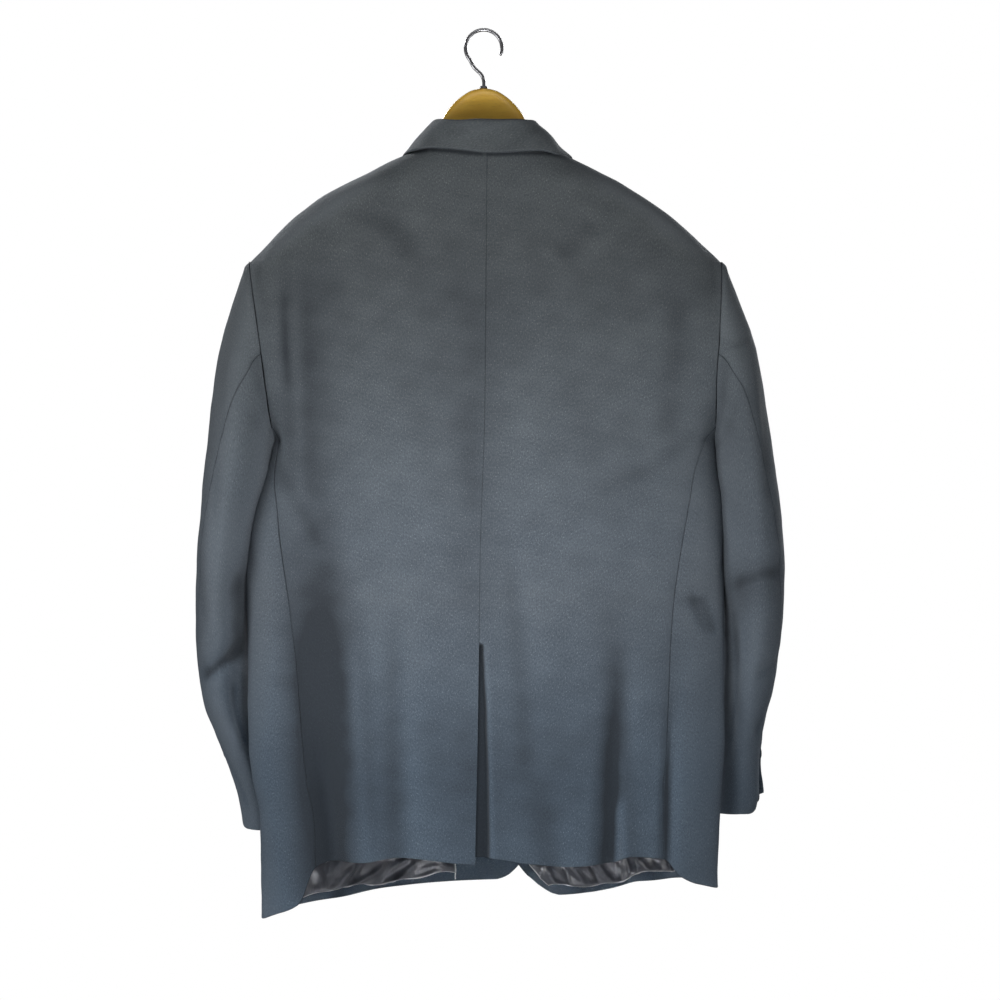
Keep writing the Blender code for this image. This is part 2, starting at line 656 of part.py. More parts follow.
UNDER_SLEEVE_COLUMNS = 8
ARMHOLE_GAP = 0.0009
AT_SHOULDER = 0.0005         # nearer the shoulder's point than this counts as on it
BELOW_SHOULDER = 0.0035      # and the body's normal is read at least this far below it


def armhole_point(side, turn):
    out, ahead = math.sin(math.radians(turn)), math.cos(math.radians(turn))
    middle = (SHOULDER_Z + ARMPIT_Z) / 2
    z = middle + (SHOULDER_Z - middle) * out
    depth = BACK_DEPTH(z) if ahead > 0 else FRONT_DEPTH(z)
    return Vector((side.sign * side.armhole(z), depth * ARMHOLE_DEPTH_SHARE * ahead, z))


def sleeve_point(side, ring, turn):
    """A place on a sleeve: turn is 0 at its back, 90 at its outer edge and 180 at its front."""
    if ring == 0:
        gap = ARMHOLE_GAP * (1 + max(0.0, math.sin(math.radians(turn))))
        return armhole_point(side, turn) + Vector((side.sign * gap, 0.0, 0.0))
    section = SLEEVE_RINGS[side.name][ring - 1]
    out, ahead = math.sin(math.radians(turn)), math.cos(math.radians(turn))
    x = (section.outer_x + section.inner_x) / 2 + (section.outer_x - section.inner_x) / 2 * out
    z = (section.outer_z + section.inner_z) / 2 + (section.outer_z - section.inner_z) / 2 * out
    depth = section.back if ahead > 0 else section.front
    return Vector((side.sign * x, section.middle_y + depth * ahead, z))


def sleeve_normal(side, ring, turn):
    last = len(SLEEVE_RINGS[side.name])
    down = sleeve_point(side, min(ring + 1, last), turn) - sleeve_point(side, max(ring - 1, 0), turn)
    along = sleeve_point(side, ring, turn + 2) - sleeve_point(side, ring, turn - 2)
    normal = (along.cross(down) * side.sign).normalized()
    if ring > 0:
        return normal
    # The armhole's edge: over the shoulder the sleeve's wall runs on from the body's.
    z = armhole_point(side, turn).z
    angle = 90.0 if z >= SHOULDER_Z - AT_SHOULDER else armhole_angle(z)
    if math.cos(math.radians(turn)) < 0:
        angle = 180 - angle
    body = coat_normal(side, angle, z if angle == 90 else min(z, SHOULDER_Z - BELOW_SHOULDER))
    share = smoothstep(2 * math.sin(math.radians(turn)) + 0.8)
    return normal.lerp(body, share).normalized()


def sleeve_half(name, side, turns_of, cloth, parent):
    points, normals = [], []
    for ring in range(len(SLEEVE_RINGS[side.name]) + 1):
        turns = turns_of(sleeve_point(side, ring, 0).z, ring)
        points.append([sleeve_point(side, ring, turn) for turn in turns])
        normals.append([sleeve_normal(side, ring, turn) for turn in turns])
    outer, inner = hollow_rows(points, normals, 0.0, CLOTH)
    return wall(name, outer, inner, cloth, parent)


def half_gap_turn(side, ring):
    """How many degrees round a ring half a seam gap is."""
    one_degree = (sleeve_point(side, ring, 1) - sleeve_point(side, ring, -1)).length / 2
    return SEAM_GAP / 2 / one_degree


def sleeves(side, cloth, parent):
    def turns_between(start, end, count, ring):
        gap = 2 * half_gap_turn(side, ring)
        return [start + gap + (end - start - 2 * gap) * i / count for i in range(count + 1)]

    def top_turns(z, ring):
        return turns_between(BACK_SLEEVE_SEAM(z), FRONT_SLEEVE_SEAM, TOP_SLEEVE_COLUMNS, ring)

    def under_turns(z, ring):
        return turns_between(FRONT_SLEEVE_SEAM, 360 + BACK_SLEEVE_SEAM(z), UNDER_SLEEVE_COLUMNS,
                             ring)

    sleeve_half("top_sleeve_" + side.name, side, top_turns, cloth, parent)
    sleeve_half("under_sleeve_" + side.name, side, under_turns, cloth, parent)


# ---------------------------------------------------------------- pockets and buttons
class Patch(NamedTuple):
    """A four-sided piece on a front: its upper corners, and how far it hangs."""

    name: str
    side: Side
    inner_x: float
    inner_z: float
    outer_x: float
    outer_z: float
    drop: float
    lean: float


PATCHES = (
    Patch("pocket_flap_left", LEFT, 0.082, -0.694, 0.216, -0.688, 0.055, 0.004),
    Patch("pocket_flap_right", RIGHT, 0.098, -0.694, 0.216, -0.688, 0.055, 0.004),
    Patch("breast_welt", LEFT, 0.122, -0.338, 0.212, -0.326, 0.024, 0.000),
)


PATCH_ROWS = 3
PATCH_COLUMNS = 7


def patch(piece, cloth, parent):
    def corners_of(row):
        along, down = piece.lean * row / PATCH_ROWS, piece.drop * row / PATCH_ROWS
        return ((piece.inner_x - along, piece.inner_z - down),
                (piece.outer_x - along, piece.outer_z - down))
    return on_front(piece.side, range(PATCH_ROWS + 1), PATCH_COLUMNS, corners_of, piece.name,
                    cloth, parent)


FRONT_BUTTON = 0.0205
SLEEVE_BUTTON = 0.0150
BUTTON_THICK = 0.0034
FRONT_BUTTONS = ((0.000, -0.575), (-0.002, -0.685))
SLEEVE_BUTTON_Z = (-0.802, -0.819, -0.836, -0.853)
BUTTONS_PAST_SEAM = 26
BUTTON_STAND = 0.0006
BUTTON_SIDES = 12


def button(name, centre, normal, across, horn, parent):
    """A turned button: a raised rim round a dished middle."""
    radius = across / 2
    profile = ((0.85, 0.0), (1.0, 0.5), (0.90, 1.0), (0.60, 0.70))
    side = normal.cross(Vector((0.0, 0.0, 1.0))).normalized()
    up = side.cross(normal)
    rings = []
    for share, rise in profile:
        ring = []
        for i in range(BUTTON_SIDES):
            turn = 2 * math.pi * i / BUTTON_SIDES
            flat = side * math.cos(turn) + up * math.sin(turn)
            ring.append(centre + flat * radius * share
                        + normal * (BUTTON_STAND + BUTTON_THICK * rise))
        rings.append(ring)
    return loft(name, rings, horn, parent)


def front_buttons(horn, parent):
    for i, (x, z) in enumerate(FRONT_BUTTONS, start=1):
        angle = angle_at(LEFT, x, z, low=90.0, high=FRONT_PAST_CENTRE)
        centre = coat_point(LEFT, angle, z)
        normal = coat_normal(LEFT, angle, z)
        button(f"front_button_{i}", centre, normal, FRONT_BUTTON, horn, parent)


def ring_at(side, z):
    """The sleeve's rings either side of a height, and the share between them."""
    rings = SLEEVE_RINGS[side.name]
    for i in range(1, len(rings)):
        upper, lower = rings[i - 1].outer_z, rings[i].outer_z
        if upper >= z >= lower:
            return i, (upper - z) / (upper - lower)
    return len(rings) - 1, 1.0


def sleeve_buttons(side, horn, parent):
    for i, z in enumerate(SLEEVE_BUTTON_Z, start=1):
        turn = BACK_SLEEVE_SEAM(z) + BUTTONS_PAST_SEAM
        ring, share = ring_at(side, z)
        upper, lower = (sleeve_point(side, at, turn) for at in (ring, ring + 1))
        normal = sleeve_normal(side, ring, turn).lerp(sleeve_normal(side, ring + 1, turn), share)
        button(f"sleeve_button_{side.name}_{i}", upper.lerp(lower, share), normal.normalized(),
               SLEEVE_BUTTON, horn, parent)


# ---------------------------------------------------------------- hanger and hook
DOME_TOP_Z = -0.062
ARM_END_X = 0.226
ARM_END_SHRINK = 0.62
WOOD_SIDES = 14
WOOD_ROUNDNESS = 0.8
WOOD_UNDER_CLOTH = 0.0050
DOME = Curve((0.000, -0.0620), (0.012, -0.0643), (0.024, -0.0710), (0.036, -0.0820),
             (0.045, -0.0950), (0.0495, -0.1080), (0.052, -0.1200), (0.0545, -0.1300),
             (0.060, -0.1400), (0.068, -0.1455), (0.080, -0.1500), (0.098, -0.1550))
WOOD_HEIGHT = Curve((0.000, 0.066), (0.030, 0.058), (0.048, 0.046), (0.068, 0.035),
                    (0.090, 0.033), (0.150, 0.032), (0.200, 0.030), (0.226, 0.024))
WOOD_HALF_DEPTH = Curve((0.000, 0.0080), (0.050, 0.0095), (0.090, 0.0120), (0.150, 0.0180),
                        (0.200, 0.0190), (0.226, 0.0170))
ARM_FORWARD = Curve((0.000, 0.000), (0.080, 0.000), (0.226, 0.003))
HANGER_STATIONS = (0.000, 0.012, 0.024, 0.036, 0.045, 0.0495, 0.0545, 0.061, 0.072, 0.090,
                   0.115, 0.145, 0.175, 0.200, 0.222)
HOOK_RADIUS = 0.0200
HOOK_WIRE = 0.0020
HOOK_SHANK = ((0.0, -0.0540), (0.0030, -0.0470), (0.0105, -0.0395))  # (x, z) above the wood
LOOP_START, LOOP_SWEEP = -40, 245     # degrees round the loop, from its right
LOOP_PARTS = 12
WIRE_SIDES = 8


def ridge_z(x):
    """The height of the right shoulder's ridge, the lower of the two once the coat hangs."""
    low, high = SHOULDER_Z, NECK_Z
    for _ in range(HALVINGS):
        middle = (low + high) / 2
        if RIGHT.shoulder(middle) - HANGS_OFF_CENTRE > x:
            low = middle
        else:
            high = middle
    return (low + high) / 2


def wood_top(x):
    if x < DOME.at[-1]:
        return DOME(x)
    return min(DOME.value[-1], ridge_z(x) - WOOD_UNDER_CLOTH)


def wood_ring(x, sign, shrink=1.0):
    top = wood_top(x)
    half_height = WOOD_HEIGHT(x) / 2
    ring = []
    for i in range(WOOD_SIDES):
        turn = 2 * math.pi * i / WOOD_SIDES
        out, up = math.cos(turn), math.sin(turn)
        y = math.copysign(abs(out) ** WOOD_ROUNDNESS, out) * WOOD_HALF_DEPTH(x) * shrink
        z = math.copysign(abs(up) ** WOOD_ROUNDNESS, up) * half_height * shrink
        ring.append(Vector((sign * x, y - ARM_FORWARD(x), top - half_height + z)))
    return ring


def hanger(wood, parent):
    rings = [wood_ring(ARM_END_X, -1, ARM_END_SHRINK)]
    rings += [wood_ring(x, -1) for x in HANGER_STATIONS[::-1]]
    rings += [wood_ring(x, 1) for x in HANGER_STATIONS[1:]]
    rings.append(wood_ring(ARM_END_X, 1, ARM_END_SHRINK))
    return loft("hanger", rings, wood, parent)


def hook(steel, parent):
    """A wire that rises from the wood, bends aside and loops over the rail."""
    centre_z = -HOOK_RADIUS + HOOK_WIRE
    path = [(0.0, DOME_TOP_Z + SEAM_GAP), *HOOK_SHANK]
    for part in range(LOOP_PARTS + 1):
        turn = math.radians(LOOP_START + LOOP_SWEEP * part / LOOP_PARTS)
        path.append((HOOK_RADIUS * math.cos(turn), centre_z + HOOK_RADIUS * math.sin(turn)))
    rings = []
    for i, (x, z) in enumerate(path):
        before, after = path[max(i - 1, 0)], path[min(i + 1, len(path) - 1)]
        along = Vector((after[0] - before[0], 0.0, after[1] - before[1])).normalized()
        across = along.cross(Vector((0.0, 1.0, 0.0)))
        ring = []
        for k in range(WIRE_SIDES):
            turn = 2 * math.pi * k / WIRE_SIDES
            offset = across * math.cos(turn) + Vector((0.0, 1.0, 0.0)) * math.sin(turn)
            ring.append(Vector((x, 0.0, z)) + offset * HOOK_WIRE)
        rings.append(ring)
    return loft("hook", rings, steel, parent)


# ---------------------------------------------------------------- the whole coat
def main():
    for leftover in list(bpy.data.objects):
        bpy.data.objects.remove(leftover, do_unlink=True)
    wool = finish("wool", (0.095, 0.112, 0.135), 0.92)
    satin = finish("satin", (0.060, 0.068, 0.085), 0.35)
    horn = finish("horn", (0.020, 0.017, 0.016), 0.35)
    wood = finish("varnished_wood", (0.480, 0.230, 0.035), 0.32)
    steel = finish("brushed_steel", (0.62, 0.62, 0.62), 0.28, 1.0)

    coat = bpy.data.objects.new("coat_place", None)
    coat.location.x = HANGS_OFF_CENTRE
    bpy.context.scene.collection.objects.link(coat)

    left_back(wool, coat)
    right_back(wool, coat)
    for side in SIDES:
        side_panel(side, wool, coat)
        front(side, wool, coat)
        lapel(side, wool, coat)
        lining(side, satin, coat)
        sleeves(side, wool, coat)
        sleeve_buttons(side, horn, coat)
    collar(wool, coat)
    for piece in PATCHES:
        patch(piece, wool, coat)
    front_buttons(horn, coat)
    hanger(wood, None)
    hook(steel, None)


main()
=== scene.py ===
"""The looks of a tailored sport coat on its wooden hanger.

Each cloth piece is a thin shell on the form of its solid: the same rings, seams and edges at a
finer spacing, with soft creases, rolled edges and a lined inside. Metres, +Z up, the coat's
back towards +Y and the wearer's left towards +X.
"""

import logging
import math
from dataclasses import astuple, dataclass, field
from enum import Enum
from typing import Callable, ClassVar, Optional, Sequence, Union

import bpy
import numpy as np
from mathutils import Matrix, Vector


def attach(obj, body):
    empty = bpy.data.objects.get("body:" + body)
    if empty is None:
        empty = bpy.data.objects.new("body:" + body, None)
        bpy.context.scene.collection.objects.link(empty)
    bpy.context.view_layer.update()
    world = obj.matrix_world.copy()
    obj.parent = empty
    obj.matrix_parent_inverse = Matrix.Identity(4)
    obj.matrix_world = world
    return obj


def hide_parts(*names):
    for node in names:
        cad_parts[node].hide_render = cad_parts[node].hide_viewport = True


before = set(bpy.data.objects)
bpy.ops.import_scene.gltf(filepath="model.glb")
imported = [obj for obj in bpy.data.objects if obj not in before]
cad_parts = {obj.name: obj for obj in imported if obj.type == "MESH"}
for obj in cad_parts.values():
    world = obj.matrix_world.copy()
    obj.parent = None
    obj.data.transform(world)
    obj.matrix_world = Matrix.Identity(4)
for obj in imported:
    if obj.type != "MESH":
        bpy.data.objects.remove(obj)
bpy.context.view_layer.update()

LOG = logging.getLogger("sport_coat")
Array = np.ndarray
Number = Union[float, Array]
Material = bpy.types.Material
Faces = Sequence[Sequence[int]]

CLOTH = 0.002
LINING = 0.0012
SEAM_GAP = 0.0003
HANGS_OFF_CENTRE = -0.0025

NECK_Z = -0.13
SHOULDER_Z = -0.2534
ARMPIT_Z = -0.45
SIDE_SEAM_Z = -0.435
HEM_STARTS_Z = -0.8
HEM_Z = -0.92
VENT_Z = -0.668

ARMHOLE_DEPTH_SHARE = 0.667
BACK_ROUNDNESS = 2.7
SIDE_DIP_ENDS_Z = -0.52
SIDE_ANGLE = 90.0
BACK_PAST_CENTRE = -40.0
FRONT_PAST_CENTRE = 215.0
HALVINGS = 26
FINE = 0.004                # spacing of a shell's rows and columns
# the painted fold shade is full where cloth lies this far below its surroundings
FULL_SHADE_DEPTH = 0.0022              # how far below its surroundings the darkest cloth lies
SHARP_CORNER = 48            # degrees
SMALL = 1e-9


def smoothstep(value: Number) -> Number:
    """A soft ramp from 0 to 1 as the value goes from 0 to 1."""
    value = np.clip(value, 0.0, 1.0)
    return value * value * (3 - 2 * value)


def hermite(t: Number, start: Number, end: Number, leaving: Number, arriving: Number) -> Number:
    """A smooth run from start to end as t goes from 0 to 1, with a given slope at each."""
    return ((1 + 2 * t) * (1 - t) ** 2 * start + t * (1 - t) ** 2 * leaving
            + t * t * (3 - 2 * t) * end + t * t * (t - 1) * arriving)


def hump(value: Number, width: float) -> Number:
    """A rounded bump, 1 where the value is 0 and all but gone at twice the width."""
    return np.exp(-((value / width) ** 2))


def corner_inset(radius: float, past: Array, fullness: float) -> Array:
    """How far a rounded corner takes an edge in, as past goes from 0 to 1 across it."""
    return radius * (1 - np.sqrt(1 - fullness * past * past))


def unit(vectors: Array) -> Array:
    """Vectors, each at length 1."""
    return vectors / np.linalg.norm(vectors, axis=-1, keepdims=True)


class Curve:
    """A smooth curve through (place, value) points that never overshoots them."""

    def __init__(self, *points: tuple[float, float]) -> None:
        """Sorts the points and works out the slope at each.

        Args:
            points: Pairs of place and value, in any order.
        """
        ordered = sorted(points)
        self.at = np.array([place for place, _ in ordered])
        self.value = np.array([value for _, value in ordered])
        rises = np.diff(self.value) / np.diff(self.at)
        before, after = rises[:-1], rises[1:]
        total = np.where(before * after > 0, before + after, 1.0)
        inner = np.where(before * after > 0, 2 * before * after / total, 0.0)
        self.slope = np.concatenate([rises[:1], inner, rises[-1:]])

    def __call__(self, place: Number) -> Number:
        """The value at a place, or at each of an array of places.

        Args:
            place: The place or places.

        Returns:
            The value or values.
        """
        place = np.clip(place, self.at[0], self.at[-1])
        i = np.clip(np.searchsorted(self.at, place, side="right") - 1, 0, len(self.at) - 2)
        span = self.at[i + 1] - self.at[i]
        return hermite((place - self.at[i]) / span, self.value[i], self.value[i + 1],
                       span * self.slope[i], span * self.slope[i + 1])


def rounded_spline(points: Sequence[Sequence[float]], between: int) -> Array:
    """A smooth line through points, with even parameter steps between them.

    Args:
        points: The points, as rows of numbers.
        between: How many steps to take from each point to the next.

    Returns:
        The line's points, as rows.
    """
    known = np.array(points, float)
    last = len(known) - 1
    place = np.linspace(0, last, last * between + 1)
    i = np.clip(place.astype(int), 0, last - 1)
    slope = np.gradient(known, axis=0)
    return hermite((place - i)[:, None], known[i], known[i + 1], slope[i], slope[i + 1])


# ---- creases in the cloth
@dataclass(frozen=True)
class Crease:
    """A soft trough along a bowed line. A depth below 0 makes it a ridge.

    start and end are places on the piece's own two coordinates. steep is how much narrower
    the trough is on one of its sides, and fades is the share of its length that fades out.
    """

    start: tuple[float, float]
    end: tuple[float, float]
    width: float
    depth: float
    bow: float = 0.0
    steep: float = 1.0
    fades: float = 0.35

    def height(self, across: Array, down: Array) -> Array:
        """How far the cloth stands out at each place.

        Args:
            across: The first coordinate of each place.
            down: The second coordinate of each place.

        Returns:
            The heights, which are below 0 in a trough.
        """
        run = np.subtract(self.end, self.start)
        length = math.hypot(*run)
        along = ((across - self.start[0]) * run[0] + (down - self.start[1]) * run[1]) / length**2
        aside = ((down - self.start[1]) * run[0] - (across - self.start[0]) * run[1]) / length
        inside = np.clip(along, 0, 1)
        aside = aside - self.bow * 4 * inside * (1 - inside)
        wide = np.where(aside > 0, self.width * self.steep, self.width)
        fade = smoothstep(along / self.fades + 0.5) * smoothstep((1 - along) / self.fades + 0.5)
        return -self.depth * fade * hump(aside, wide)


def creased(creases: Sequence[Crease], across: Array, down: Array) -> Array:
    """The sum of some creases' heights at each place.

    Args:
        creases: The creases.
        across: Each place's distance across.
        down: Its distance down.

    Returns:
        The heights.
    """
    total = np.zeros_like(across)
    for crease in creases:
        total = total + crease.height(across, down)
    return total


RIPPLE_WAVES = ((0.092, 0.31, 0.4), (0.061, 1.27, 1.9), (0.118, 2.36, 3.1), (0.043, 2.85, 0.8),
                (0.033, 0.74, 5.2), (0.027, 1.83, 2.7))
RIPPLE_HEIGHT = 0.00034
RIPPLE_LENGTH = 0.06
RIPPLE_BEND = 0.35           # how far a wave's crests wander, in radians
RIPPLE_BEND_LENGTH = 2.3     # how far apart they do so, in lengths of the wave


def ripple(across: Array, down: Array, shift: float) -> Array:
    """The slight unevenness of pressed wool: a few crossing waves of unlike lengths.

    Args:
        across: The first coordinate of each place.
        down: The second one.
        shift: Where the waves start, which sets one piece's apart from another's.

    Returns:
        The heights.
    """
    total = np.zeros_like(across)
    for length, heading, phase in RIPPLE_WAVES:
        place = across * math.cos(heading) + down * math.sin(heading)
        bend = np.sin(2 * math.pi * down / (length * RIPPLE_BEND_LENGTH) + shift)
        bend = RIPPLE_BEND * bend
        total = total + np.sin(2 * math.pi * place / length + phase + shift + bend) * length
    return total / RIPPLE_LENGTH * RIPPLE_HEIGHT / 2


# ---- the coat's form
class Layer(Enum):
    """Which face of the body a point lies on."""

    OUTSIDE = "outside"
    UNDER_VENT = "under the vent's flap"
    UNDER_FRONT = "under the left front"


@dataclass(frozen=True)
class Side:
    """What differs between the wearer's left (+X) and right (-X)."""

    name: str
    sign: int
    shoulder: Curve
    width: Curve
    armhole: Curve
    back_seam: Curve
    hem: Curve
    front_edge: Curve
    cuff_lift: Curve
    cuff_tuck: float
    cuff_raise: float
    cuff_corner: float
    lining_edge: Curve


FRONT_SEAM = Curve((-0.435, 104.2), (-0.5, 109), (-0.6, 113), (-0.95, 118))
BACK_DEPTH = Curve((-0.13, 0.05), (-0.18, 0.0625), (-0.2534, 0.071), (-0.35, 0.076),
                   (-0.45, 0.075), (-0.6, 0.073), (-0.75, 0.075), (-0.92, 0.08))
FRONT_DEPTH = Curve((-0.13, 0.046), (-0.18, 0.06), (-0.2534, 0.074), (-0.35, 0.084),
                    (-0.45, 0.086), (-0.6, 0.084), (-0.75, 0.085), (-0.92, 0.088))
FRONT_ROUNDNESS = Curve((-0.45, 2.7), (-0.6, 2.2))
CENTRE_SEAM = Curve((-0.13, -0.0015), (-0.405, 0.0007), (-0.58, 0.006), (-0.67, 0.0071),
                    (-0.92, 0.0114))
VENT_EDGE = Curve((-0.668, 0.001), (-0.69, 0.0), (-0.74, -0.003), (-0.9, -0.0065))

CHEST_EDGE = ((-0.18, 0.0596), (-0.3, 0.0345), (-0.43, 0.0073), (-0.53, -0.0137),
              (-0.56, -0.019))

LEFT = Side(
    "left", 1,
    shoulder=Curve((-0.13, 0.07), (-0.139, 0.0925), (-0.1478, 0.113), (-0.1588, 0.1335),
                   (-0.1698, 0.1565), (-0.1808, 0.1765), (-0.1918, 0.1935), (-0.2138, 0.2211),
                   (-0.2358, 0.242), (-0.2534, 0.2596)),
    width=Curve((-0.45, 0.232), (-0.482, 0.2398), (-0.526, 0.2541), (-0.565, 0.2607),
                (-0.625, 0.2629), (-0.735, 0.2629), (-0.779, 0.2618), (-0.823, 0.2574),
                (-0.856, 0.2497), (-0.918, 0.2464)),
    armhole=Curve((-0.2534, 0.2596), (-0.339, 0.2455), (-0.45, 0.232)),
    back_seam=Curve((-0.435, 75.8), (-0.477, 72), (-0.527, 58.5), (-0.59, 51.5),
                    (-0.64, 48), (-0.72, 44.5), (-0.83, 42.5), (-0.95, 42)),
    hem=Curve((0, -0.907), (15, -0.8996), (25, -0.905), (36, -0.906), (42, -0.912),
              (50, -0.952), (60, -0.962), (90, -0.974), (110, -0.971), (141, -0.96),
              (156, -0.952), (173, -0.946), (190, -0.9428)),
    front_edge=Curve((-0.13, 0.066), (-0.139, 0.068), *CHEST_EDGE, (-0.66, -0.022),
                     (-0.75, -0.034), (-0.83, -0.046), (-0.88, -0.049),
                     (-0.895, -0.0445), (-0.905, -0.0385), (-0.91, -0.0335),
                     (-0.9155, -0.0262), (-0.9185, -0.019), (-0.92, -0.0125)),
    cuff_lift=Curve((-0.79, 0.0), (-0.86, 0.0008), (-0.885, 0.0)),
    cuff_tuck=0.0,
    cuff_raise=0.0004,
    cuff_corner=0.009,
    lining_edge=Curve((-0.8, 0.035), (-0.92, 0.035)),
)
RIGHT = Side(
    "right", -1,
    shoulder=Curve((-0.13, 0.068), (-0.139, 0.09), (-0.1478, 0.1085), (-0.1588, 0.129),
                   (-0.1698, 0.1512), (-0.1808, 0.17), (-0.1918, 0.1865), (-0.2138, 0.2156),
                   (-0.2358, 0.2398), (-0.2534, 0.258)),
    width=Curve((-0.45, 0.251), (-0.482, 0.253), (-0.52, 0.2596), (-0.56, 0.2618),
                (-0.779, 0.2618), (-0.823, 0.2585), (-0.856, 0.2574), (-0.918, 0.255)),
    armhole=Curve((-0.2534, 0.258), (-0.339, 0.253), (-0.39, 0.25), (-0.45, 0.251)),
    back_seam=Curve((-0.435, 75.8), (-0.4525, 68), (-0.48, 60), (-0.529, 52), (-0.595, 46.7),
                    (-0.643, 44.6), (-0.716, 43.3), (-0.826, 42), (-0.95, 43)),
    hem=Curve((0, -0.899), (5, -0.905), (13, -0.909), (25, -0.906), (31, -0.899),
              (43, -0.903), (50, -0.921), (60, -0.931), (90, -0.94), (120, -0.937),
              (139, -0.943), (149, -0.953), (164, -0.961), (185, -0.961)),
    front_edge=Curve((-0.13, 0.064), (-0.139, 0.067), *CHEST_EDGE, (-0.66, -0.016),
                     (-0.75, -0.004), (-0.83, 0.012), (-0.88, 0.024),
                     (-0.8965, 0.038), (-0.9058, 0.0493), (-0.9134, 0.0618),
                     (-0.9176, 0.0708), (-0.9195, 0.077), (-0.92, 0.082)),
    cuff_lift=Curve((-0.795, 0.0), (-0.815, 0.001), (-0.835, 0.0034), (-0.8485, 0.0046),
                    (-0.851, 0.0004), (-0.87, 0.0)),
    cuff_tuck=0.003,
    cuff_raise=0.0036,
    cuff_corner=0.013,
    lining_edge=Curve((-0.8, 0.022), (-0.88, 0.036), (-0.8965, 0.05), (-0.9058, 0.059),
                      (-0.9134, 0.07), (-0.92, 0.08)),
)


@dataclass(frozen=True)
class Fold:
    """A large fold of the body, which runs down from its top and opens towards the hem."""

    side: Side
    on_back: bool
    top_z: float
    full_z: float
    top_x: float
    hem_x: float
    width: float
    depth: float


FOLDS = (
    Fold(LEFT, True, -0.7, -0.86, 0.186, 0.163, 0.017, 0.022),
    Fold(LEFT, True, -0.76, -0.9, 0.105, 0.098, 0.022, 0.006),
    Fold(RIGHT, True, -0.64, -0.85, 0.146, 0.132, 0.014, 0.014),
    Fold(RIGHT, True, -0.7, -0.86, 0.2, 0.194, 0.008, 0.007),
    Fold(RIGHT, True, -0.78, -0.9, 0.06, 0.07, 0.02, 0.005),
    Fold(LEFT, False, -0.72, -0.9, 0.15, 0.165, 0.02, 0.01),
    Fold(RIGHT, False, -0.72, -0.9, 0.18, 0.188, 0.018, 0.01),
    Fold(RIGHT, False, -0.78, -0.9, 0.11, 0.105, 0.02, 0.006),
)


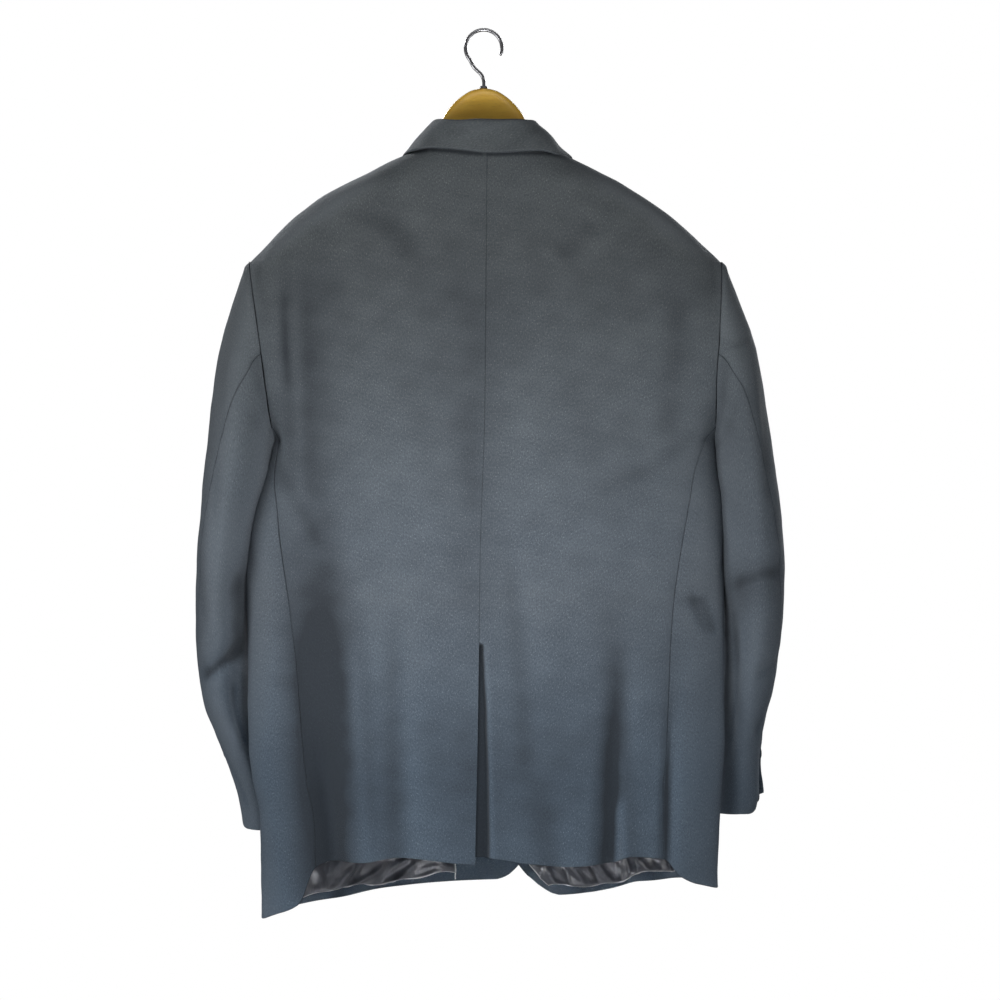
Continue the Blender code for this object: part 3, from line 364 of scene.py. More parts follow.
@dataclass(frozen=True)
class BodyForm:
    """The stack of rings that the body's panels are cut from.

    A place on it is an angle, 0 at the centre of the back and 180 at the centre of the front,
    and a height.
    """

    vent_step: float = 0.0095
    vent_turn: float = 0.0055
    closing_step: float = 0.0046
    closing_lap: float = 0.024
    closing_run: float = 0.018
    closing_top_z: float = -0.385
    closing_fall: float = 0.03
    inner_reach: float = 0.8
    inner_share: float = 0.74
    samples_in_row: int = 81

    def armhole_share(self, z: Number) -> Number:
        """The armhole's half depth at a height, as a share of the ring's depth.

        Args:
            z: The height or heights.

        Returns:
            The share.
        """
        middle = (SHOULDER_Z + ARMPIT_Z) / 2
        off_middle = (z - middle) / (SHOULDER_Z - middle)
        return ARMHOLE_DEPTH_SHARE * np.sqrt(np.maximum(0.0, 1 - off_middle * off_middle))

    def armhole_angle(self, z: Number) -> Number:
        """The angle at which a ring meets the armhole's seam, on the back."""
        return np.degrees(np.arccos(self.armhole_share(z) ** (BACK_ROUNDNESS / 2)))

    def half_width(self, side: Side, z: Array) -> Array:
        """Half the width of the ring at a height.

        Args:
            side: The side of the coat.
            z: Cut heights.

        Returns:
            The half widths.
        """
        inside = 1 - self.armhole_share(np.clip(z, ARMPIT_Z, SHOULDER_Z)) ** BACK_ROUNDNESS
        at_armhole = side.armhole(z) / inside ** (1 / BACK_ROUNDNESS)
        return np.where(z >= SHOULDER_Z, side.shoulder(z),
                        np.where(z > ARMPIT_Z, at_armhole, side.width(z)))

    def fold_depth(self, side: Side, back: Array, x: Array, z: Array) -> Array:
        """How far the large folds take the cloth in.

        Args:
            side: The side of the coat.
            back: Whether each place is on the back.
            x: How far it is from the centre.
            z: Its height.

        Returns:
            The depths.
        """
        total = np.zeros_like(x)
        for fold in FOLDS:
            if fold.side is side:
                run = np.clip((fold.top_z - z) / (fold.top_z - HEM_Z), 0, 1)
                centre = fold.top_x + (fold.hem_x - fold.top_x) * run
                opening = smoothstep((fold.top_z - z) / (fold.top_z - fold.full_z))
                trough = fold.depth * opening * hump(x - centre, fold.width)
                total = total + np.where(back == fold.on_back, trough, 0.0)
        return total

    def step(self, layer: Layer, x: Array, z: Array) -> Array:
        """How far a layer lies inside the coat's outer face.

        Args:
            layer: Which layer.
            x: Places from the centre, towards the wearer's left.
            z: Their heights.

        Returns:
            The depths, 0 on the outside.
        """
        if layer is Layer.UNDER_VENT:
            turned = smoothstep((x - VENT_EDGE(z)) / self.vent_turn)
            return self.vent_step * turned * smoothstep((VENT_Z - z) / self.vent_turn)
        if layer is Layer.UNDER_FRONT:
            past_edge = x - (LEFT.front_edge(z) - self.closing_lap)
            below_top = smoothstep((self.closing_top_z - z) / self.closing_fall)
            return self.closing_step * smoothstep(past_edge / self.closing_run) * below_top
        return np.zeros_like(x)

    def draped_z(self, side: Side, angle: Array, z: Array) -> Array:
        """The cut height of a row, let down to the uneven hem.

        Args:
            side: The side of the coat.
            angle: Angles in degrees.
            z: Cut heights.

        Returns:
            The heights.
        """
        share = (HEM_STARTS_Z - z) / (HEM_STARTS_Z - HEM_Z)
        let_down = HEM_STARTS_Z + share * (side.hem(angle) - HEM_STARTS_Z)
        return np.where(z < HEM_STARTS_Z, let_down, z)

    def point(self, side: Side, angle: Array, cut_z: Array, layer: Layer = Layer.OUTSIDE) -> Array:
        """Places on the body.

        Args:
            side: The side of the coat.
            angle: Angles in degrees.
            cut_z: Heights on the cut piece, of the same shape.
            layer: The layer that they lie on.

        Returns:
            The places, with x, y and z in the last axis.
        """
        z = self.draped_z(side, angle, cut_z)
        turn = np.radians(angle)
        back = angle <= SIDE_ANGLE
        power = 2 / np.where(back, BACK_ROUNDNESS, FRONT_ROUNDNESS(z))
        depth = np.where(back, BACK_DEPTH(z), -FRONT_DEPTH(z))
        out = np.sign(np.sin(turn)) * np.abs(np.sin(turn)) ** power
        x = self.half_width(side, z) * out
        y = depth * np.abs(np.cos(turn)) ** power
        inward = self.fold_depth(side, back, x, z) + self.step(layer, side.sign * x, cut_z)
        y = y + np.where(back, -inward, inward)
        return np.stack([side.sign * x, y, z], axis=-1)

    def angle_at(self, side: Side, x: Array, z: Array, layer: Layer, front: bool = False) -> Array:
        """The angles at which rows pass given distances from the centre.

        Args:
            side: The side of the coat.
            x: The distances, on that side.
            z: The rows' heights, of the same shape.
            layer: The layer that the rows lie on.
            front: Whether the rows are the front's.

        Returns:
            The angles in degrees.
        """
        low, high = (SIDE_ANGLE, FRONT_PAST_CENTRE) if front else (BACK_PAST_CENTRE, SIDE_ANGLE)
        lows, highs = np.full_like(z, low), np.full_like(z, high)
        for _ in range(HALVINGS):
            middle = (lows + highs) / 2
            beyond = side.sign * self.point(side, middle, z, layer)[..., 0] > x
            upper = beyond != front
            highs, lows = np.where(upper, middle, highs), np.where(upper, lows, middle)
        return (lows + highs) / 2

    def rows_of_angles(self, side: Side, z: Array, start: Array, end: Array, shares: Array,
                       layer: Layer = Layer.OUTSIDE) -> Array:
        """Angles at given shares of each row's length.

        Args:
            side: The side of the coat.
            z: The rows' heights.
            start: Where each row starts, in degrees.
            end: Where each row ends.
            shares: The shares of a row's length, from 0 to 1.
            layer: The layer that the rows lie on.

        Returns:
            The angles, a row for each height.
        """
        samples = np.linspace(0, 1, self.samples_in_row)
        angles = start[:, None] + (end - start)[:, None] * samples
        places = self.point(side, angles, np.broadcast_to(z[:, None], angles.shape), layer)
        return np.array([np.interp(shares * run[-1], run, turned)
                         for run, turned in zip(running_length(places, 1), angles)])

    def rows_in_two(self, side: Side, z: Array, start: Array, end: Array, shares: Array,
                    layer: Layer, front: bool = False) -> Array:
        """Angles at given shares of each row, of which the inner ones keep to even columns.

        Args:
            side: The side of the coat.
            z: The rows' heights.
            start: Where each row starts, in degrees.
            end: Where each row ends.
            shares: The shares of a row, from 0 to 1.
            layer: The layer that the rows lie on.
            front: Whether the rows are the front's.

        Returns:
            The angles, a row for each height.
        """
        end_x = side.sign * self.point(side, end, z, layer)[..., 0]
        turn = self.angle_at(side, end_x * self.inner_reach, z, layer, front)
        inner = shares <= self.inner_share
        near = self.rows_of_angles(side, z, start, turn, shares[inner] / self.inner_share, layer)
        far = (shares[~inner] - self.inner_share) / (1 - self.inner_share)
        return np.concatenate([near, self.rows_of_angles(side, z, turn, end, far, layer)], axis=1)


BODY = BodyForm()


# ---- meshes of cloth
EDGE_PLACES = (0.0, 0.0004, 0.0009, 0.0016, 0.0027, 0.0045)


def edge_refined(length: float, spacing: float = FINE, start: bool = True,
                 end: bool = True) -> Array:
    """Shares along a length, closer together where an edge rolls.

    Args:
        length: The length in metres.
        spacing: The usual distance between places.
        start: Whether the first end is such an edge.
        end: Whether the last end is.

    Returns:
        Shares from 0 to 1.
    """
    near = np.array(EDGE_PLACES)
    first = near if start else np.array([0.0])
    last = length - near[::-1] if end else np.array([length])
    middle_count = max(2, int(round((last[0] - first[-1]) / spacing)) + 1)
    middle = np.linspace(first[-1], last[0], middle_count)
    return np.concatenate([first[:-1], middle, last[1:]]) / length


def facing(points: Array, outward: Array) -> Array:
    """Unit normals of a grid of places, on the side that most of the outward directions take.

    Args:
        points: The grid.
        outward: A rough direction at each place.

    Returns:
        The normals.
    """
    normals = np.cross(np.gradient(points, axis=1), np.gradient(points, axis=0))
    length = np.linalg.norm(normals, axis=2, keepdims=True)
    normals = normals / np.maximum(length, SMALL)
    return normals if float(np.sum(normals * outward)) > 0 else -normals


def eased(grid: Array, times: int) -> Array:
    """A grid of places, each drawn towards its neighbours.

    Args:
        grid: The places.
        times: How many times they are drawn.

    Returns:
        The new places, of which the corners stay.
    """
    for _ in range(times):
        for axis in (0, 1):
            pad = [(0, 0)] * 3
            pad[axis] = (1, 1)
            wide = np.pad(grid, pad, mode="reflect", reflect_type="odd")
            wide = np.moveaxis(wide, axis, 0)
            grid = np.moveaxis((wide[:-2] + 2 * wide[1:-1] + wide[2:]) / 4, 0, axis)
    return grid


def running_length(points: Array, axis: int) -> Array:
    """Distance along each row or column of a grid, from its first place.

    Args:
        points: The grid.
        axis: 0 for columns and 1 for rows.

    Returns:
        The distances.
    """
    steps = np.linalg.norm(np.diff(points, axis=axis), axis=2)
    start = np.zeros_like(steps[:, :1]) if axis == 1 else np.zeros_like(steps[:1])
    return np.concatenate([start, np.cumsum(steps, axis=axis)], axis=axis)


def laid_flat(points: Array) -> tuple[Array, Array]:
    """How far across and down the flat piece each place of a grid lies."""
    return running_length(points, 1), running_length(points, 0)


@dataclass
class Shell:
    """A sheet of cloth with two faces and rolled edges, over a grid of places.

    normals point out of the coat. soft_edges says which of the top, bottom, first and last
    edges roll in: a seam or a hem does, and an edge that another piece covers doesn't. swell
    normals point out of the coat. soft_edges says which of the top, bottom, first and last
    edges roll in: a seam or a hem does, and an edge that another piece covers doesn't. swell
    lifts the outer face, shaded adds painted shade to it, or painted highlight where it is
    below 0, and open_edges is above 0 at a vent's free edge, which gets less of the painted
    shade that marks a seam. A filled piece's inner face stays where it is below a lift.
    """

    name: str
    points: Array
    normals: Array
    thickness: float = CLOTH
    soft_edges: tuple[bool, bool, bool, bool] = (True, True, True, True)
    roll: float = 0.0008
    seam_pucker: float = 0.0
    lined: Optional[Callable[[Array, Array], Array]] = None
    swell: Number = 0.0
    shaded: Number = 0.0
    open_edges: Number = 0.0
    filled: bool = False
    warp_column: int = 0
    fold_reach: int = 12
    fold_shade_range: tuple[float, float] = (-0.3, 0.8)
    shading_limits: tuple[float, float] = (-1.0, 1.4)
    edge_sinks: float = 0.85
    pucker_reach: float = 0.006
    puckers: tuple[tuple[float, float], ...] = ((0.6, 0.0041), (0.4, 0.0027))
    flat_margin: float = 1.0001

    def shading_to_paint(self) -> Array:
        """How far each place lies in a fold, from -1 on a ridge to 1 deep inside, plus the painted
        shade strokes: the wool paints shade by it, and highlight where it is below 0.

        Returns:
            A number for each place.
        """
        around = eased(self.points, self.fold_reach)
        below = np.sum((around - self.points) * self.normals, axis=2) / FULL_SHADE_DEPTH
        return np.clip(np.clip(below, *self.fold_shade_range) + self.shaded, *self.shading_limits)

    def edge_distance(self) -> tuple[Array, Array]:
        """The distance of each place from the nearest rolled edge, and from any edge.

        Returns:
            Both distances.
        """
        across, down = laid_flat(self.points)
        ends = (down, down[-1:] - down, across, across[:, -1:] - across)
        soft = [end if rolled else np.full_like(end, 1.0)
                for end, rolled in zip(ends, self.soft_edges)]
        return np.minimum.reduce(soft), np.minimum.reduce(ends)

    def two_faces(self) -> Array:
        """The places of the outer face and then of the inner one, with the edges rolled in.

        Returns:
            The places, as rows.
        """
        soft, _ = self.edge_distance()
        across, down = laid_flat(self.points)
        short = np.clip(self.roll - soft, 0, self.roll)
        sunk = self.roll - np.sqrt(np.maximum(self.roll**2 - short**2, 0))
        (slanting, slant_length), (level, level_length) = self.puckers
        pucker = self.seam_pucker * np.exp(-soft / self.pucker_reach)
        pucker = pucker * (slanting * np.sin((across + down) / slant_length)
                           + level * np.sin(down / level_length))
        raised = self.swell - sunk * self.edge_sinks + pucker
        moved = (np.minimum(self.swell, 0) if self.filled else self.swell) + 0 * sunk
        outer = self.points + self.normals * raised[..., None]
        inner = self.points - self.normals * (self.thickness - moved)[..., None]
        places = np.concatenate([outer.reshape(-1, 3), inner.reshape(-1, 3)])
        places[:, 0] += HANGS_OFF_CENTRE
        return places

    def quads(self, places: Array) -> tuple[Array, int]:
        """The quads between the places, all turned outward.

        Args:
            places: The outer face's places and then the inner face's.

        Returns:
            Each quad's corners, first the outer face's, then the inner face's and the rim's,
            and how many quads a face has.
        """
        rows, columns = self.points.shape[:2]
        count = rows * columns
        index = np.arange(count).reshape(rows, columns)
        a, b = index[:-1, :-1].ravel(), index[:-1, 1:].ravel()
        c, d = index[1:, 1:].ravel(), index[1:, :-1].ravel()
        faces = [np.stack([a, d, c, b], 1), np.stack([a, b, c, d], 1) + count]
        for line, reverse in ((index[0], False), (index[-1], True), (index[:, 0], True),
                              (index[:, -1], False)):
            p, q = line[:-1], line[1:]
            rim = np.stack([p, q, q + count, p + count], 1)
            faces.append(rim[:, ::-1] if reverse else rim)
        quads = np.concatenate(faces)
        middle = quads[len(a) // 2]
        p = places[middle]
        normal = self.normals.reshape(-1, 3)[middle[0]]
        inside_out = float(np.dot(np.cross(p[2] - p[0], p[3] - p[1]), normal)) < 0
        return (quads[:, ::-1] if inside_out else quads), len(a)

    def build(self, finishes: Sequence[Material]) -> bpy.types.Object:
        """Makes the object.

        Args:
            finishes: The outer face's finish and, if the piece is lined, the lining's.

        Returns:
            The new object, linked to the scene.
        """
        places = self.two_faces()
        quads, in_face = self.quads(places)
        mesh = bpy.data.meshes.new(self.name)
        mesh.from_pydata(places, [], quads.tolist())
        mesh.shade_smooth()
        made = linked(mesh, finishes)
        across, down = laid_flat(self.points)
        if len(finishes) > 1 and self.lined is not None:
            slots = np.zeros(len(quads), int)
            slots[in_face:2 * in_face] = self.lined(across, down)[:-1, :-1].ravel()
            mesh.polygons.foreach_set("material_index", slots)
        from_warp = across - across[:, self.warp_column][:, None]
        cut = np.concatenate([np.stack([from_warp, down], 2).reshape(-1, 2)] * 2)
        corner = np.empty(len(mesh.loops), np.int32)
        mesh.loops.foreach_get("vertex_index", corner)
        layer = mesh.uv_layers.new(name="cut")
        layer.data.foreach_set("uv", cut[corner].astype(np.float32).ravel())
        # the distance to the nearest edge, by which the wool paints shade along seams and edges
        # and the satin paints a highlight along its folded edge; open_edges lessens that painted
        # seam shade
        nearest = self.edge_distance()[1] + self.open_edges
        for label, grid in (("edge", nearest), ("hollow", self.shading_to_paint())):
            values = np.concatenate([grid.ravel()] * 2)
            attribute = mesh.attributes.new(label, "FLOAT", "POINT")
            attribute.data.foreach_set("value", values.astype(np.float32))
        return made

    def flat_size(self) -> tuple[float, float, float]:
        """The piece's greatest width and length once flat, and its area.

        Returns:
            The width, the length and the area.
        """
        across, down = laid_flat(self.points)
        sides = np.cross(self.points[1:, 1:] - self.points[:-1, :-1],
                         self.points[1:, :-1] - self.points[:-1, 1:])
        area = float(np.linalg.norm(sides, axis=2).sum() / 2)
        width, length = float(across[:, -1].max()), float(down[-1].max())
        stretch = max(1.0, area / (width * length) * self.flat_margin)
        return width * stretch, length, area


def linked(mesh: bpy.types.Mesh, finishes: Sequence[Material]) -> bpy.types.Object:
    """Puts a mesh into the scene as an object in these finishes.

    Args:
        mesh: The mesh.
        finishes: Its finishes.

    Returns:
        The object.
    """
    for finish in finishes:
        mesh.materials.append(finish)
    made = bpy.data.objects.new(mesh.name, mesh)
    bpy.context.scene.collection.objects.link(made)
    return made


def mesh_object(name: str, places: Array, faces: Faces, finishes: Sequence[Material],
                slots: Sequence[int]) -> bpy.types.Object:
    """Makes an object from places and faces, smooth but for its sharp corners.

    Args:
        name: The object's name.
        places: The places.
        faces: Each face's places, by number.
        finishes: The finishes.
        slots: The number of each face's finish.

    Returns:
        The new object, linked to the scene.
    """
    mesh = bpy.data.meshes.new(name)
    mesh.from_pydata([tuple(p) for p in places], [], [tuple(f) for f in faces])
    mesh.validate()
    mesh.shade_smooth()
    mesh.set_sharp_from_angle(angle=math.radians(SHARP_CORNER))
    made = linked(mesh, finishes)
    mesh.polygons.foreach_set("material_index", np.array(slots, np.int32))
    return made


def ring_turns(around: int) -> Array:
    """Even turns round a ring, in radians."""
    return np.linspace(0, 2 * math.pi, around, endpoint=False)


def tube_faces(rings: int, around: int, capped: bool = True) -> list[list[int]]:
    """Faces of a closed tube whose rings of places follow one another.

    Args:
        rings: How many rings there are.
        around: The places in each.
        capped: Whether its two ends are closed.

    Returns:
        Each face's places, by number.
    """
    faces = []
    for near in range(0, (rings - 1) * around, around):
        for j in range(around):
            k = (j + 1) % around
            faces.append([near + j, near + k, near + around + k, near + around + j])
    if capped:
        faces.append(list(range(around))[::-1])
        faces.append(list(range((rings - 1) * around, rings * around)))
    return faces


def tube(path: Array, radius: Number, around: int) -> tuple[Array, list[list[int]]]:
    """A round tube along a path.

    Args:
        path: The middle of each of its rings.
        radius: One radius, or each ring's.
        around: How many places go round a ring.

    Returns:
        The places and the faces.
    """
    along = unit(np.gradient(path, axis=0))
    guide = np.array([0.0, 1.0, 0.0]) if abs(along[:, 1]).max() < 0.9 else np.array([1.0, 0, 0])
    first = unit(np.cross(along, guide))
    second = np.cross(along, first)
    turns = ring_turns(around)[:, None]
    size = np.broadcast_to(radius, (len(path),))[:, None, None]
    ring = first[:, None] * np.cos(turns) + second[:, None] * np.sin(turns)
    places = (path[:, None] + ring * size).reshape(-1, 3)
    return places, tube_faces(len(path), around)


# ---- materials
class Wire:
    """A value that flows through a material, with plain arithmetic."""

    def __init__(self, tree: bpy.types.NodeTree, socket: bpy.types.NodeSocket) -> None:
        """Holds an output socket and the tree that it is in."""
        self.tree, self.socket = tree, socket

    def maths(self, operation: str, first: "Value", second: "Value" = 0.0,
              clamp: bool = False) -> "Wire":
        """A Math node's result.

        Args:
            operation: The node's operation.
            first: Its first value.
            second: Its second value.
            clamp: Whether the result stays between 0 and 1.

        Returns:
            The result.
        """
        node = self.tree.nodes.new("ShaderNodeMath")
        node.operation, node.use_clamp = operation, clamp
        feed(self.tree, node.inputs[0], first)
        feed(self.tree, node.inputs[1], second)
        return Wire(self.tree, node.outputs[0])

    def __add__(self, other: "Value") -> "Wire":
        """The sum."""
        return self.maths("ADD", self, other)

    def __sub__(self, other: "Value") -> "Wire":
        """The difference."""
        return self.maths("SUBTRACT", self, other)

    def __rsub__(self, other: "Value") -> "Wire":
        """The difference, taken from a plain number."""
        return self.maths("SUBTRACT", other, self)

    def __mul__(self, other: "Value") -> "Wire":
        """The product."""
        return self.maths("MULTIPLY", self, other)

    def __truediv__(self, other: "Value") -> "Wire":
        """The quotient."""
        return self.maths("DIVIDE", self, other)

    __radd__ = __add__
    __rmul__ = __mul__

    def sine(self) -> "Wire":
        """The sine."""
        return self.maths("SINE", self)

    def between(self, low: float, high: float) -> "Wire":
        """A ramp from 0 at low to 1 at high, held there beyond them."""
        return self.maths("MULTIPLY", self - low, 1 / (high - low), clamp=True)


Value = Union[Wire, float, tuple[float, ...]]
Colour = tuple[float, float, float]
Stretch = tuple[float, float, float]


def feed(tree: bpy.types.NodeTree, slot: bpy.types.NodeSocket, value: Value) -> None:
    """Links a wire to an input, or sets the input to a plain value.

    Args:
        tree: The node tree.
        slot: The input.
        value: A wire, a number or a colour.
    """
    if isinstance(value, Wire):
        tree.links.new(value.socket, slot)
    elif isinstance(value, tuple) and slot.type == "RGBA":
        slot.default_value = (*value, 1.0)
    else:
        slot.default_value = value


class Mixture:
    """The nodes of a material or of the surround, while they are put together."""

    def __init__(self, owner: Union[Material, bpy.types.World]) -> None:
        """Empties the owner's nodes.

        Args:
            owner: The material or the surround.
        """
        owner.use_nodes = True
        self.owner, self.tree = owner, owner.node_tree
        self.tree.nodes.clear()

    def added(self, kind: str, settings: Optional[dict] = None,
              inputs: Optional[dict] = None) -> bpy.types.Node:
        """Adds a node.

        Args:
            kind: The node's type.
            settings: Its own settings, by name.
            inputs: Values and wires for its inputs, by name or number.

        Returns:
            The node.
        """
        node = self.tree.nodes.new(kind)
        for name, setting in (settings or {}).items():
            setattr(node, name, setting)
        for key, value in (inputs or {}).items():
            feed(self.tree, node.inputs[key], value)
        return node

    def node(self, kind: str, settings: Optional[dict] = None,
             inputs: Optional[dict] = None, output: Union[int, str] = 0) -> Wire:
        """Adds a node and takes one of its outputs."""
        return Wire(self.tree, self.added(kind, settings, inputs).outputs[output])

    def stretched(self, place: Wire, stretch: Stretch) -> Wire:
        """Places, stretched along each axis."""
        return self.node("ShaderNodeVectorMath", {"operation": "MULTIPLY"}, {0: place, 1: stretch})

    def cut_place(self, stretch: Stretch = (1.0, 1.0, 1.0)) -> Wire:
        """Places on the cut piece in metres, stretched."""
        return self.stretched(self.node("ShaderNodeUVMap", {"uv_map": "cut"}), stretch)

    def room_place(self, stretch: Stretch = (1.0, 1.0, 1.0)) -> Wire:
        """Places in the room in metres, stretched."""
        return self.stretched(self.node("ShaderNodeTexCoord", output="Object"), stretch)

    def noise(self, place: Wire, scale: float, detail: float = 2.0) -> Wire:
        """Smooth noise, near 0.5 on the whole."""
        return self.node("ShaderNodeTexNoise", None,
                         {"Vector": place, "Scale": scale, "Detail": detail})

    def kept(self, name: str) -> Wire:
        """A value that a shell keeps at each of its places."""
        return self.node("ShaderNodeAttribute", {"attribute_name": name}, output="Fac")

    def part_of(self, place: Wire, axis: str) -> Wire:
        """One coordinate of a place."""
        return self.node("ShaderNodeSeparateXYZ", None, {0: place}, axis)

    def mix(self, share: Value, first: Value, second: Value, blend: str = "MIX") -> Wire:
        """A blend of two colours."""
        return self.node("ShaderNodeMix", {"data_type": "RGBA", "blend_type": blend},
                         {0: share, 6: first, 7: second}, 2)

    def bump(self, height: Wire, distance: float, strength: float) -> Wire:
        """A normal that follows a height."""
        return self.node("ShaderNodeBump", None,
                         {"Height": height, "Distance": distance, "Strength": strength})

    def surface(self, inputs: dict[str, Value]) -> Material:
        """Ends a material with its usual shader, whose inputs are given by name."""
        return self.shown(self.node("ShaderNodeBsdfPrincipled", None, inputs))

    def shown(self, shader: Wire, output: str = "ShaderNodeOutputMaterial") -> bpy.types.ID:
        """Joins a shader to the output, which ends the material or the surround."""
        self.added(output, None, {"Surface": shader})
        return self.owner


def new_mixture(name: str) -> Mixture:
    """Starts an empty material."""
    return Mixture(bpy.data.materials.new(name))


@dataclass(frozen=True)
class Wool:
    """Milled worsted: dark and pale fibres carded together, over a fine flat weave."""

    dark: Colour = (0.062, 0.076, 0.096)
    pale: Colour = (0.126, 0.149, 0.176)
    # pale fibre flecks, which are also the colour of the painted highlight on ridges
    fleck_and_highlight: Colour = (0.27, 0.3, 0.33)
    sheen: float = 0.16
    fibre: float = 620.0
    thread: float = 1150.0
    shadow: Colour = (0.02, 0.024, 0.03)
    # painted colour cast of the light: warmer towards the top and bluer towards the hem
    top_light_cast: Colour = (1.0, 0.94, 0.83)
    middle_light_cast: Colour = (0.97, 0.97, 0.96)
    low_light_cast: Colour = (0.79, 0.905, 1.0)
    # shares of painted shade in folds and of painted highlight on ridges
    fold_shade: float = 0.84
    ridge_highlight: float = 0.3
    # shares of painted shade beside seams and edges, and in their grooves
    seam_shade: float = 0.4
    seam_groove_shade: float = 0.7
    weave: float = 5200.0

    def material(self, name: str) -> Material:
        """The cloth as a material.

        Args:
            name: The material's name.

        Returns:
            The material.
        """
        m = new_mixture(name)
        cut = m.cut_place((1.0, 0.62, 1.0))
        fibre = m.noise(cut, self.fibre, 3.0)
        fine = m.noise(m.cut_place((1.0, 0.8, 1.0)), self.thread * 1.3, 1.0)
        cloud = m.noise(m.room_place(), 17.0, 3.0)
        share = (fibre * 0.62 + fine * 0.38).between(0.36, 0.66) * 0.82
        colour = m.mix(share + cloud.between(0.3, 0.7) * 0.18, self.dark, self.pale)
        flecks = m.noise(m.cut_place((1.0, 0.45, 1.0)), self.thread, 0.0).between(0.7, 0.8)
        colour = m.mix(flecks * 0.6, colour, self.fleck_and_highlight)
        height = m.part_of(m.room_place(), "Z")
        # the painted colour cast of the light, by height in the room
        tint = m.mix(height.between(-0.24, -0.56), self.top_light_cast, self.middle_light_cast)
        tint = m.mix(height.between(-0.62, -0.82), tint, self.low_light_cast)
        colour = m.mix(1.0, colour, tint, "MULTIPLY")
        edge, hollow = m.kept("edge"), m.kept("hollow")
        # painted shade along seams and edges
        colour = m.mix((1 - edge.between(0.0002, 0.0011)) * self.seam_shade, colour, self.shadow)
        colour = m.mix((1 - edge.between(0.0, 0.0004)) * self.seam_groove_shade, colour, self.shadow)
        # painted shade in folds and painted highlight on ridges, from the shell's painted shading
        colour = m.mix(hollow.between(0.0, 1.0) * self.fold_shade, colour, self.shadow)
        colour = m.mix(hollow.between(0.0, -1.0) * self.ridge_highlight, colour, self.fleck_and_highlight)
        across = m.part_of(m.cut_place(), "X")
        down = m.part_of(m.cut_place(), "Y")
        weave = ((across + down) * self.weave).sine() * ((across - down) * (self.weave / 2)).sine()
        relief = weave * 0.25 + fibre * 0.55 + fine * 0.5
        return m.surface({
            "Base Color": colour,
            "Roughness": fine.between(0.2, 0.8) * 0.1 + 0.86,
            "Normal": m.bump(relief, 0.0007, 0.55),
            "Sheen Weight": self.sheen, "Sheen Roughness": 0.45,
            "Sheen Tint": (0.62, 0.7, 0.8), "Specular IOR Level": 0.22,
        })


@dataclass(frozen=True)
class Satin:
    """Woven satin lining: smooth, with long fine floats and a soft shine."""

    dark: Colour = (0.05, 0.056, 0.07)
    pale: Colour = (0.095, 0.102, 0.122)
    # painted highlight along the lining's folded edges
    fold_edge_highlight: Colour = (0.62, 0.62, 0.64)
    shine: float = 0.27
    float_scale: float = 900.0

    def material(self, name: str) -> Material:
        """The lining as a material.

        Args:
            name: The material's name.

        Returns:
            The material.
        """
        m = new_mixture(name)
        floats = m.noise(m.cut_place((1.0, 0.08, 1.0)), self.float_scale, 2.0)
        cloud = m.noise(m.cut_place(), 40.0, 2.0)
        colour = m.mix(floats * 0.5 + cloud * 0.5, self.dark, self.pale)
        # a painted highlight along the folded edges
        edge_highlight = 1 - m.kept("edge").between(0.0006, 0.0016)
        colour = m.mix(edge_highlight * 0.8, colour, self.fold_edge_highlight)
        return m.surface({
            "Base Color": colour,
            "Roughness": cloud.between(0.3, 0.7) * 0.1 + self.shine,
            "Normal": m.bump(floats + cloud * 0.6, 0.0006, 0.35),
            "Anisotropic": 0.5, "Specular IOR Level": 0.9,
            "Sheen Weight": 0.1, "Sheen Roughness": 0.3,
        })


@dataclass(frozen=True)
class Horn:
    """Polished dark horn, with cloudy brown streaks."""

    dark: Colour = (0.012, 0.01, 0.01)
    streak: Colour = (0.065, 0.045, 0.034)
    gloss: float = 0.26

    def material(self, name: str) -> Material:
        """The horn as a material.

        Args:
            name: The material's name.

        Returns:
            The material.
        """
        m = new_mixture(name)
        place = m.room_place((1.0, 1.0, 3.2))
        streaks = m.noise(place, 120.0, 4.0).between(0.48, 0.72)
        fine = m.noise(place, 900.0, 2.0)
        return m.surface({
            "Base Color": m.mix(streaks, self.dark, self.streak),
            "Roughness": fine * 0.16 + self.gloss,
            "Normal": m.bump(fine, 0.0002, 0.3),
            "Coat Weight": 0.3,
        })


@dataclass(frozen=True)
class Thread:
    """Twisted sewing thread."""

    colour: Colour = (0.03, 0.035, 0.044)
    pale: Colour = (0.075, 0.082, 0.095)
    twist: float = 2400.0

    def material(self, name: str) -> Material:
        """The thread as a material.

        Args:
            name: The material's name.

        Returns:
            The material.
        """
        m = new_mixture(name)
        place = m.room_place()
        strands = ((m.part_of(place, "X") + m.part_of(place, "Z")) * self.twist).sine()
        return m.surface({
            "Base Color": m.mix(strands.between(-1.0, 1.0), self.colour, self.pale),
            "Roughness": 0.62,
            "Normal": m.bump(strands, 0.0003, 0.5),
            "Sheen Weight": 0.2,
        })


